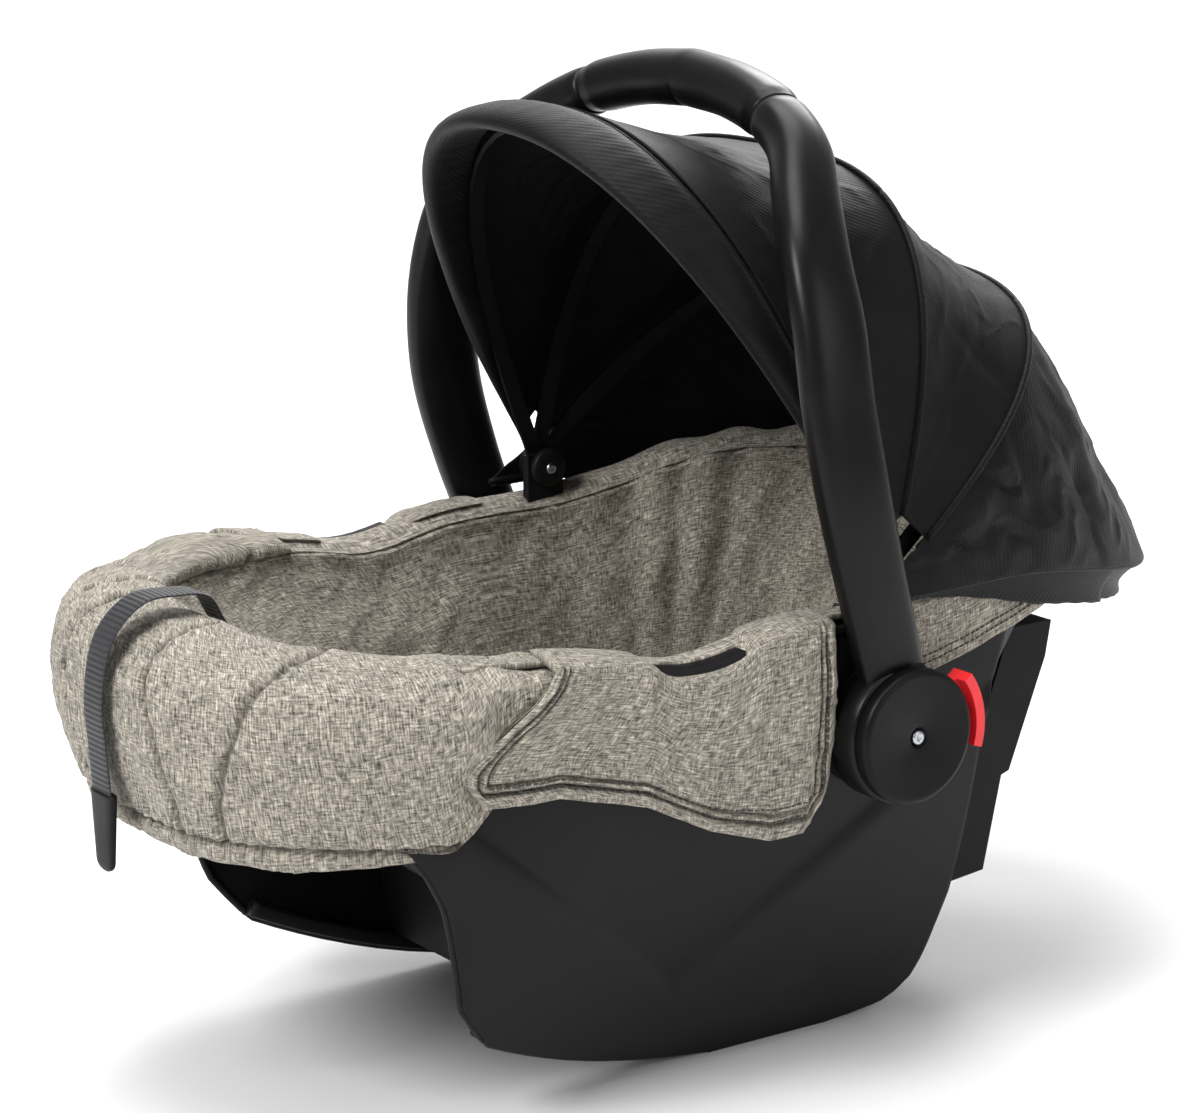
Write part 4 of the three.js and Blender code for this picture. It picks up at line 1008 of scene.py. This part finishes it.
def swell(piece, give, cap, pressure, frames):
    """Pads a closed form: cloth under inner pressure with no gravity, each point held within the cap
    of where it started and moved by its share of give (0 to 1), then one subdivision."""
    start = points_of(piece)
    fabric = piece.modifiers.new("Cloth", "CLOTH")
    settings = fabric.settings
    settings.quality = 5
    settings.use_pressure = True
    settings.uniform_pressure_force = pressure
    settings.tension_stiffness = 12
    settings.compression_stiffness = 12
    settings.bending_stiffness = 0.5
    settings.effector_weights.gravity = 0
    fabric.point_cache.frame_start = 1
    fabric.point_cache.frame_end = frames
    for number in range(1, frames + 1):
        bpy.context.scene.frame_set(number)
    apply_modifiers(piece)
    bpy.context.scene.frame_set(1)
    move = points_of(piece) - start
    size = np.maximum(np.linalg.norm(move, axis=1, keepdims=True), 1e-9)
    move *= np.minimum(1, cap / size) * np.asarray(give).reshape(-1, 1)
    put_points(piece, start + move)
    divide = piece.modifiers.new("Subdivision", "SUBSURF")
    divide.levels = divide.render_levels = 1
    apply_modifiers(piece)
    piece.data.polygons.foreach_set("use_smooth", [True] * len(piece.data.polygons))


def apply_modifiers(piece):
    """Bakes a piece's modifiers into its mesh."""
    depsgraph = bpy.context.evaluated_depsgraph_get()
    baked = bpy.data.meshes.new_from_object(piece.evaluated_get(depsgraph))
    old = piece.data
    piece.modifiers.clear()
    piece.data = baked
    baked.name = old.name
    bpy.data.meshes.remove(old)


def points_of(piece):
    """Vertices of a piece, in millimetres."""
    flat = np.zeros(len(piece.data.vertices) * 3, np.float32)
    piece.data.vertices.foreach_get("co", flat)
    return flat.reshape(-1, 3).astype(float) / MM


def put_points(piece, points):
    """Moves the vertices of a piece to points in millimetres."""
    piece.data.vertices.foreach_set("co", (points * MM).astype(np.float32).ravel())
    piece.data.update()


def paint_seam_shade(piece, values):
    """Stores the painted shade of each vertex as its seam attribute, 0 on open cloth to 1 in the darkest
    crease.
    """
    layer = piece.data.attributes.get("seam") or piece.data.attributes.new("seam", "FLOAT", "POINT")
    layer.data.foreach_set("value", np.clip(values, 0, 1).astype(np.float32).ravel())


def set_weave(piece, values):
    """Thread coordinates of a remeshed piece, in millimetres, as its weave attribute."""
    layer = piece.data.attributes.get("weave") or piece.data.attributes.new("weave", "FLOAT_VECTOR", "POINT")
    layer.data.foreach_set("vector", (np.asarray(values) * MM).astype(np.float32).ravel())


def rim_band(start, end, columns, section, shape):
    """Closed band along the rim: section points (out, up) as shape(k, out, up) changes them at each
    share k of the way between two angles."""
    k = np.linspace(0, 1, columns)[:, None]
    out, up = np.asarray(section, float).T
    o, z = shape(k, out[None, :], up[None, :])
    a = mix(start, end, k) + 0 * o
    return rim_point(a, o, z)


def rounded(section, samples=64):
    """Closed smooth outline through a few section points."""
    p = np.asarray(section, float)
    looped = np.vstack([p, p[:1]])
    flat = np.column_stack([looped, np.zeros(len(looped))])
    curve = catmull(np.vstack([flat[-3:-1], flat, flat[1:3]]), samples * 3)
    low = np.argmin(np.linalg.norm(curve - flat[0], axis=1)[:len(curve) // 2])
    high = len(curve) // 2 + np.argmin(np.linalg.norm(curve[len(curve) // 2:] - flat[0], axis=1))
    part = curve[low:high, :2]
    return part[np.linspace(0, len(part) - 1, samples).astype(int)]


DART_ANGLES = (-141, -118, -102, -78, -62)   # degrees round the rim, foot end -90


class SEAT_OT_cover(bpy.types.Operator):
    """Grey cover: padded foot roll, inner liner, side flaps, head cover and their topstitching"""
    bl_idname = "seat.cover"
    bl_label = "Cover"

    def execute(self, context):
        self.weave = melange_weave()
        self.thread = sewing_thread("Grey polyester thread", "3f3c36")
        self.foot_roll()
        self.liner()
        for side, sign in (("left", 1), ("right", -1)):
            self.flap(side, sign)
        self.head_cover()
        return {"FINISHED"}

    def foot_roll(self):
        """Foot roll: an outline hooked over the rim, thick at the toes and slimmer at the sides,
        pressed flatter along the left side, pulled in by radial darts and by the hem seam, then
        swelled by pressure."""
        section = rounded([[-34, 3], [-38, 10], [-24, 21], [0, 23], [17, 11], [25, -14], [24, -46], [14, -84],
                           [3, -104], [-6, -107], [-8, -98], [3, -70], [5, -30], [3, -8], [-10, 3]], 70)
        start = rim_angle(-150.0)
        end = -np.pi - start

        def shape(k, o, z):
            """Slims the section towards the ends, which lie under the flaps."""
            side = 1 - np.sin(k * np.pi)
            slim = mix(1, 0.3, side ** 1.5)
            out = np.where(o > 1.2, mix(1.2, o, slim), mix(o, np.maximum(o, np.where(z > 0, o, 1.2)),
                                                            smooth(side * 1.6)))
            tucked = mix(mix(1, 0.76, side ** 1.2), 0.48, smooth((side - 0.6) / 0.25))
            drop = np.where(z < 0, tucked, mix(1, 0.62, side ** 1.2))
            worn = np.where(z > 0, mix(0.34, 1.0, smooth((k - 0.12) / 0.6)), 1.0)
            return out, z * drop * worn

        points = rim_band(start, end, 190, section, shape)
        points = points + np.array([0.0, 0.0, 1.0]) * (crumple(points, 90.0, 5) * 1.2)[..., None]
        piece = capped("foot_roll_cushion", points)
        give = smooth((section[:, 0] - 4) / 10) + smooth((section[:, 1] - 8) / 8)
        give = np.tile(give, (190, 1)).clip(0, 1)
        swell(piece, give, 5.0, cloth().pressure, bpy.context.scene.seat_stage.steps)
        self.press_seams(piece)
        settle(piece, self.weave, "seat", "foot_roll")

    def press_seams(self, piece):
        """Presses darts and the hem seam: each is a narrow groove a few millimetres deep, with painted shade
        along its crease.
        """
        p = points_of(piece)
        a = np.degrees(np.arctan2((p[:, 1] - MIDDLE) / HALF_LENGTH, p[:, 0] / FLANGE_HALF))
        normals = np.zeros(len(p) * 3, np.float32)
        piece.data.vertices.foreach_get("normal", normals)
        normals = normals.reshape(-1, 3)
        depth = np.zeros(len(p))
        level = p[:, 2] - rim_height(p[:, 1])
        for centre in DART_ANGLES:
            bend = 4.0 * np.sin(level / 40 + centre)
            fade = smooth((level + 106) / 30)
            depth += fade * 3.2 * np.exp(-(((a - centre - bend) / 0.8) ** 2))
            depth -= fade * 1.6 * np.exp(-(((a - centre - bend) / 4.5) ** 2))
        outside = smooth((8 - level) / 8)
        depth += 3.8 * outside * np.exp(-(((level + 90) / 1.7) ** 2))
        depth -= 1.6 * outside * np.exp(-(((level + 99) / 5) ** 2))
        pucker = np.sin(np.radians(a) * 130) * np.exp(-(((level + 82) / 9) ** 2))
        depth += 0.7 * pucker * outside - 1.1 * crumple(p, 42.0, 9)
        put_points(piece, p - normals * depth[:, None])
        # Painted shade along the crease of each dart and of the hem seam, stored for the weave to darken.
        dart_shade = np.zeros(len(p))
        for centre in DART_ANGLES:
            bend = 4.0 * np.sin(level / 40 + centre)
            dart_shade += smooth((level + 106) / 30) * np.exp(-(((a - centre - bend) / 0.5) ** 2))
        hem = outside * np.exp(-(((level + 90) / 1.5) ** 2))
        paint_seam_shade(piece, 0.75 * dart_shade + 0.95 * hem)

    def liner(self):
        """Liner: one cloth bowl from the floor over the rim's top, with gathers that deepen towards
        the rim at the head end, a seam groove round the foot end and a soft hollow where the baby sits;
        painted shade darkens that seam, two lines up both sides that stand for the side seams, and the troughs
        of the gathers towards the head."""
        u, v = parameters(360, 150)
        a = mix(-np.pi, np.pi, u)
        t = np.clip(v / 0.9, 0, 1) ** 0.9
        inset = mix(24.0, 12.0, smooth((t - 0.75) / 0.25))
        points = bucket(a, np.maximum(t, 0.002), inset)
        over = np.clip((v - 0.9) / 0.1, 0, 1)
        lip = rim_point(a, mix(-34.0, -4.0, over), mix(-6.0, 3.4, smooth(over * 1.6)))
        low = points[v[:, 0] <= 0.9][-1][None]
        points = np.where((v > 0.9)[..., None], mix(low, lip, smooth(over * 2.5)[..., None]), points)
        head = smooth((points[..., 1] - 10) / 120)
        rise = smooth((t - 0.25) / 0.6) * (1 - 0.85 * smooth(over * 1.2))
        gather = np.sin(a * 30 + 1.8 * np.sin(a * 7)) * 0.6 + folds(u, v, 60, 21) * 1.2
        deep = cloth().gather / MM
        inward = unit(stack(-points[..., 0], -(points[..., 1] - MIDDLE) * 0.6, 60.0))
        shift = deep * gather * rise * (0.25 + 0.75 * head)
        seam = np.exp(-(((points[..., 1] + 178 + 0.004 * points[..., 0] ** 2) / 2.6) ** 2)) * (v < 0.95)
        loose = crumple(points, 55.0, 15) * 1.6 * smooth(t / 0.2) * (1 - 0.7 * smooth(over * 2))
        points = points + inward * (shift + 1.0 + loose - 2.6 * seam)[..., None]
        points[..., 2] += head * smooth(over * 1.4) * (1.6 * np.sin(a * 23 + 2 * np.sin(a * 5)) + 2.0)
        piece = self.bowl("seat_liner_cloth", points, 3.0)
        # Painted shade: two lines up the sides that stand for side seams, the foot seam's groove and the
        # troughs of the gathers towards the head, stored for the weave to darken.
        side_seam_shade = np.exp(-(((points[..., 1] + 30 + 0.9 * points[..., 2] - 190) / 2.2) ** 2)) * (v < 0.9)
        hollow = 0.35 * np.clip(-gather * rise * head, 0, 1)
        dark = (0.9 * seam + 0.6 * side_seam_shade + hollow)[:, :-1]
        paint_seam_shade(piece, np.concatenate([dark.ravel(), 0 * dark.ravel()]))
        settle(piece, self.weave, "seat", "seat_liner")

    def bowl(self, name, points, thickness):
        """Closed bowl with a wall: inner grid and outer grid joined at the lip, each with a pole."""
        rows, columns = points.shape[:2]
        points = points[:, :-1]
        columns -= 1
        tu = np.roll(points, -1, axis=1) - np.roll(points, 1, axis=1)
        tv = np.gradient(points, axis=0)
        normal = unit(np.cross(tu, tv))
        if normal[rows // 2, 0, 0] > 0:
            normal = -normal
        back = points - normal * thickness
        count = rows * columns
        faces = grid_faces(rows, columns, around=True)
        lip = np.arange(columns) + (rows - 1) * columns
        ring = np.roll(lip, -1)
        walls = np.stack([lip, ring, ring + count, lip + count], axis=1)
        every = np.concatenate([faces, faces[:, ::-1] + count, walls]).tolist()
        every.append(list(range(columns)))
        every.append([count + i for i in range(columns - 1, -1, -1)])
        turn, rise = parameters(columns, rows, closed=True)
        weave = stack(np.abs(turn - 0.5) * 1500, rise * 330, 0.0)
        both = np.concatenate([points.reshape(-1, 3), back.reshape(-1, 3)])
        double = np.concatenate([weave.reshape(-1, 3), weave.reshape(-1, 3)])
        return outward(make_mesh(name, both, every, double))

    def flap(self, side, sign):
        """Side flap: a padded sheet folded over the rim and down to a hem that dips before the hub;
        rows cross the rim, columns run along it, and its edges are thinner than its middle."""
        u, v = parameters(260, 130)
        y_hem = np.array([-232, -224, -212, -170, -120, -78, -40, -16, -4, 4])
        z_hem = np.array([214, 204, 197, 197, 185, 164, 152, 152, 166, 190])
        front = mix(-176.0, -222.0, smooth((v - 0.25) / 0.6))
        y_rim = mix(front + 9 * smooth((v - 0.88) / 0.12), 2.0 - 5 * smooth((v - 0.9) / 0.1), u)
        a = rim_angle(y_rim)
        top = rim_point(a, 0.0, 0.0)
        drop = top[..., 2] - np.interp(top[..., 1], y_hem, z_hem)
        over = np.clip(v / 0.28, 0, 1)
        down = np.clip((v - 0.28) / 0.72, 0, 1)
        notch = np.exp(-((np.abs(top[..., 1] + 83) / 30) ** 6))
        proud = 8.0 + 6.5 * (1 - smooth(u / 0.3))
        o = np.where(v < 0.28, mix(mix(-22.0, 0.5, notch), proud, smooth(over)),
                     proud + 2.5 * np.sin(np.pi * down) - 3.0 * down ** 3)
        lift = (1.0 if sign > 0 else 5.0) * (1 - smooth(u / 0.2)) - 8.0 * notch
        z = np.where(v < 0.28, lift + 7.5 + 2.0 * np.sin(np.pi * over) - 3.5 * over ** 3,
                     mix(4.0 + lift, -drop, down))
        pad = 3.0 * np.sin(np.pi * np.clip(down, 0, 1)) ** 0.5 * np.sin(np.pi * u) ** 0.4
        flat = rim_point(a, o, z)
        wrinkle = 1.3 * crumple(flat, 46.0, 33) + 0.6 * folds(u, v, 26, 31)
        hem = np.minimum(np.minimum(u * 245, (1 - u) * 245), (1 - v) * (drop + 30))
        below = smooth((v - 0.2) / 0.08)
        stitched = (np.exp(-(((hem - 8) / 1.1) ** 2)) + 0.8 * np.exp(-(((hem - 13) / 1.0) ** 2))) * below
        groove = -3.0 * stitched + 1.3 * np.exp(-(((hem - 4) / 3) ** 2))
        points = rim_point(a, o + (pad * 0.5 + wrinkle + groove) * smooth((v - 0.12) / 0.1), z)
        if sign < 0:
            points = mirror(points)
        piece = sheet_mesh(f"side_flap_cloth_{side}", points, 4.2, side=1.0 if sign > 0 else -1.0,
                           threads=stack(u * 235, v * 128, 0.0))
        # Painted shade along the two rows of stitch grooves, stored for the weave to darken.
        paint_seam_shade(piece, np.concatenate([0.85 * stitched.ravel(), 0 * stitched.ravel()]))
        settle(piece, self.weave, "seat", f"side_flap_{side}")
        self.flap_stitches(side, sign, points)

    def flap_stitches(self, side, sign, points):
        """Two rows of topstitching that follow the flap's hem, 8 and 13 mm in from the edge."""
        normal = grid_normals(points)
        if (normal[65, 130, 0] > 0) != (sign > 0):
            normal = -normal
        rows, columns = points.shape[:2]
        for number, inset in enumerate((8.0, 13.0)):
            c = int(round(inset / 245 * columns))
            r = rows - 1 - int(round(inset / 110 * rows))
            low = int(rows * 0.34)
            path = [(i, c) for i in range(low, r)] + [(r, j) for j in range(c, columns - c)]
            path += [(i, columns - c) for i in range(r, low, -1)]
            rr, cc = np.array(path).T
            piece = stitches(f"side_flap_stitches_{side}_{number + 1}", points[rr, cc] + normal[rr, cc] * 0.2,
                             normal[rr, cc], cloth().stitch / MM)
            settle(piece, self.thread, "seat")

    def head_cover(self):
        """Head cover: cloth folded over the rear rim and down its outside, gathered by its elastic
        hem, from hub to hub round the head end."""
        u, v = parameters(300, 46)
        start = rim_angle(52.0)
        a = mix(start, np.pi - start, u)
        over = np.clip(v / 0.4, 0, 1)
        down = np.clip((v - 0.4) / 0.6, 0, 1)
        base = rim_point(a, 0.0, 0.0)
        fall = mix(40.0, 26.0, smooth((base[..., 1] - 150) / 120))
        o = np.where(v < 0.4, mix(-20.0, 3.3, smooth(over)), 3.3 + 0.5 * np.sin(np.pi * down))
        z = np.where(v < 0.4, 4.5 + 1.5 * np.sin(np.pi * over) - 1.5 * over, 3.0 - fall * down)
        gather = 0.5 * np.sin(a * 70 + 2 * np.sin(a * 9)) * down + 0.5 * folds(u, v, 40, 51)
        points = rim_point(a, o + gather * (v > 0.3) * 0.6, z)
        piece = sheet_mesh("head_cover_cloth", points, 2.2, side=1.0)
        settle(piece, self.weave, "seat", "head_cover")
        normal = grid_normals(points)
        if normal[40, 20, 0] < 0:
            normal = -normal
        for number, row in enumerate((38, 41)):
            path = points[row] + normal[row] * 0.25
            piece = stitches(f"head_cover_stitches_{number + 1}", path, normal[row], cloth().stitch / MM)
            settle(piece, self.thread, "seat")


class SEAT_OT_harness(bpy.types.Operator):
    """Harness: shoulder straps and pads, crotch strap, and the pull strap with its tab at the toes"""
    bl_idname = "seat.harness"
    bl_label = "Harness"

    def execute(self, context):
        webbing = ribbed_webbing()
        grey = bpy.data.materials["Melange polyester weave"]
        rise = [self.bowl_point(34.0, t, 35.0, 1) for t in (0.66, 0.5, 0.36, 0.22, 0.12)]
        shoulder = catmull(rise + [np.array([30.0, 86.0, 82.0]), np.array([27.0, 62.0, 82.0])], 90)
        pad = catmull([self.bowl_point(34.0, t, 41.0, 1) for t in (0.6, 0.5, 0.4, 0.3)], 60)
        for side, sign in (("left", 1), ("right", -1)):
            turn = np.array([sign, 1.0, 1.0])
            self.strap(f"shoulder_webbing_{side}", shoulder * turn, 38, 2.0, f"shoulder_strap_{side}",
                       webbing)
            section = squircle(25, 3.6, 2.8)
            piece = tube_mesh(f"shoulder_cushion_{side}", pad * turn, section)
            settle(piece, grey, "seat", f"shoulder_pad_{side}")
        crotch = np.array([[0, -30, 77.0], [0, -12, 77], [0, 5, 77]])
        self.strap("crotch_webbing", catmull(crotch, 24), 30, 2.0, "crotch_strap", webbing)
        self.pull_strap(webbing)
        return {"FINISHED"}

    def bowl_point(self, x, t, inset, end):
        """Point in the bucket at a distance x from the middle; end is 1 at the head and -1 at the toes."""
        half = bucket(np.array(0.0), t, inset)[0]
        a = np.arccos((abs(x) / half) ** (PLAN_POWER / 2)) * end
        p = bucket(np.array(a), t, inset)
        return np.array([x, p[1], p[2]])

    def strap(self, name, path, width, thickness, node, material):
        """Strap: a flat rounded section along a path, its width across the seat."""
        piece = tube_mesh(name, path, squircle(width / 2, thickness / 2, 3.6))
        place = points_of(piece)
        along = np.repeat(running_length(path), len(place) // len(path))
        set_weave(piece, np.stack([place[:, 0], along, 0 * along], axis=1))
        settle(piece, material, "seat", node)
        return piece

    def pull_strap(self, material):
        """Pull strap: webbing out of the liner, over the toe roll and down to its tab."""
        o = lambda out, up: rim_point(np.array(-np.pi / 2), out, up)
        path = catmull([self.bowl_point(0.0, 0.95, 30.0, -1), o(-44.0, 10.0), o(-34.0, 25.5), o(-16.0, 29.0),
                        o(6.0, 27.5), o(25.0, 10.0), o(32.5, -22.0), o(31.0, -50.0), o(29.0, -76.0)], 120)
        self.strap("pull_webbing", path, 21, 1.7, "adjuster_strap", material)
        low, high = box_mm("pull_tab")
        centre = (low + high) / 2
        z = np.linspace(high[2] + 1.5, low[2] + 0.5, 40)
        share = (high[2] + 1.5 - z) / (z[0] - z[-1])
        half = 12.6 * (1 - 0.3 * share) * np.sqrt(np.clip(1 - ((share - 0.86).clip(0) / 0.145) ** 2, 0.02, 1))
        thick = mix(3.0, 2.0, share) * np.sqrt(np.clip(1 - ((share - 0.9).clip(0) / 0.105) ** 2, 0.05, 1))
        section = np.stack([squircle(w, h, 3.4, 32) for w, h in zip(half, thick)])
        path = stack(0.0, centre[1] + 0 * z, z)
        piece = tube_mesh("pull_tab_grip", path, section)
        settle(piece, bpy.data.materials["Moulded polyamide, dark"], "seat", "pull_tab")


class SEAT_OT_stage(bpy.types.Operator):
    """Stage: camera, pale floor and soft lights"""
    bl_idname = "seat.stage"
    bl_label = "Stage"

    def execute(self, context):
        settings = context.scene.seat_stage
        data = bpy.data.cameras.new("Camera")
        data.lens = settings.lens
        data.sensor_width = 36.0
        camera = bpy.data.objects.new("Camera", data)
        camera.location = (1.7332, -1.2445, 0.7916)
        camera.rotation_euler = (math.pi / 2 - settings.elevation, 0.0, settings.azimuth)
        context.scene.collection.objects.link(camera)
        context.scene.camera = camera
        self.floor(context)
        self.light(context, "Key", (0.5, -2.6, 2.4), 1.4, 92.0)
        self.light(context, "Fill", (2.6, 0.7, 1.4), 1.8, 16.0)
        self.light(context, "Top", (0.1, -0.3, 2.8), 1.6, 46.0)
        self.light(context, "Back", (-1.5, 1.9, 1.9), 1.2, 26.0)
        self.light(context, "Wall", (-1.4, 1.0, 3.4), 2.0, 70.0, aim=(-3.0, 2.1, 0.9))
        world = context.scene.world or bpy.data.worlds.new("World")
        context.scene.world = world
        world.use_nodes = True
        back = world.node_tree.nodes["Background"]
        back.inputs[0].default_value = (0.93, 0.94, 0.96, 1.0)
        back.inputs[1].default_value = 0.34
        context.scene.view_settings.view_transform = "Standard"
        return {"FINISHED"}

    def floor(self, context):
        """Floor: a wide pale sheet that runs level under the rails and curves up far behind."""
        turn = np.linspace(0, np.pi / 2, 24)
        reach = np.concatenate([[-5000.0], 2300 + 1300 * np.sin(turn), [3600.0]])
        rise = np.concatenate([[0.0], 1300 * (1 - np.cos(turn)), [5200.0]])
        azimuth = context.scene.seat_stage.azimuth
        ahead = (-math.sin(azimuth), math.cos(azimuth))
        across = np.linspace(-7000, 7000, 12)[None, :]
        points = stack(reach[:, None] * ahead[0] + across * ahead[1],
                       reach[:, None] * ahead[1] - across * ahead[0], rise[:, None])
        piece = make_mesh("floor", points, grid_faces(len(reach), 12).tolist())
        material, tree = new_material("Pale studio floor")
        place = add(tree, "ShaderNodeTexCoord").outputs["Object"]
        cloud = add(tree, "ShaderNodeTexNoise",
                    {"Vector": place, "Scale": 3.0, "Detail": 2.0, "Roughness": 0.5})
        colour = add(tree, "ShaderNodeValToRGB", {"Fac": cloud},
                     stops=[(0.3, (0.86, 0.86, 0.86, 1)), (0.7, (0.9, 0.9, 0.9, 1))])
        shader = add(tree, "ShaderNodeBsdfPrincipled", {"Base Color": colour, "Roughness": 0.7})
        add(tree, "ShaderNodeOutputMaterial", {"Surface": shader})
        piece.data.materials.append(material)

    def light(self, context, name, place, size, power_watts, aim=(0.0, 0.0, 0.28)):
        """Round area light at a place in metres, aimed at a point."""
        data = bpy.data.lights.new(name, "AREA")
        data.shape = "DISK"
        data.size = size
        data.energy = power_watts
        lamp = bpy.data.objects.new(name, data)
        lamp.location = place
        way = Vector(aim) - Vector(place)
        lamp.rotation_euler = way.to_track_quat("-Z", "Y").to_euler()
        context.scene.collection.objects.link(lamp)


class SEAT_PT_panel(bpy.types.Panel):
    """Buttons for each group of pieces"""
    bl_label = "Infant car seat"
    bl_idname = "SEAT_PT_panel"
    bl_space_type = "VIEW_3D"
    bl_region_type = "UI"
    bl_category = "Seat"

    def draw(self, context):
        for operator in OPERATORS:
            self.layout.operator(operator.bl_idname)


OPERATORS = (SEAT_OT_stage, SEAT_OT_shell, SEAT_OT_handle, SEAT_OT_canopy, SEAT_OT_cover, SEAT_OT_harness)
CLASSES = (SeatCloth, SeatPlastic, SeatStage) + OPERATORS + (SEAT_PT_panel,)


def register():
    """Registers the classes and the settings on the scene."""
    for item in CLASSES:
        bpy.utils.register_class(item)
    bpy.types.Scene.seat_cloth = PointerProperty(type=SeatCloth)
    bpy.types.Scene.seat_plastic = PointerProperty(type=SeatPlastic)
    bpy.types.Scene.seat_stage = PointerProperty(type=SeatStage)


def unregister():
    """Removes what register() added."""
    del bpy.types.Scene.seat_stage
    del bpy.types.Scene.seat_plastic
    del bpy.types.Scene.seat_cloth
    for item in reversed(CLASSES):
        bpy.utils.unregister_class(item)


def main():
    """Registers the add-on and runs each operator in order."""
    register()
    bpy.ops.seat.stage()
    bpy.ops.seat.shell()
    bpy.ops.seat.handle()
    bpy.ops.seat.canopy()
    bpy.ops.seat.cover()
    bpy.ops.seat.harness()


if __name__ == "__main__":
    main()
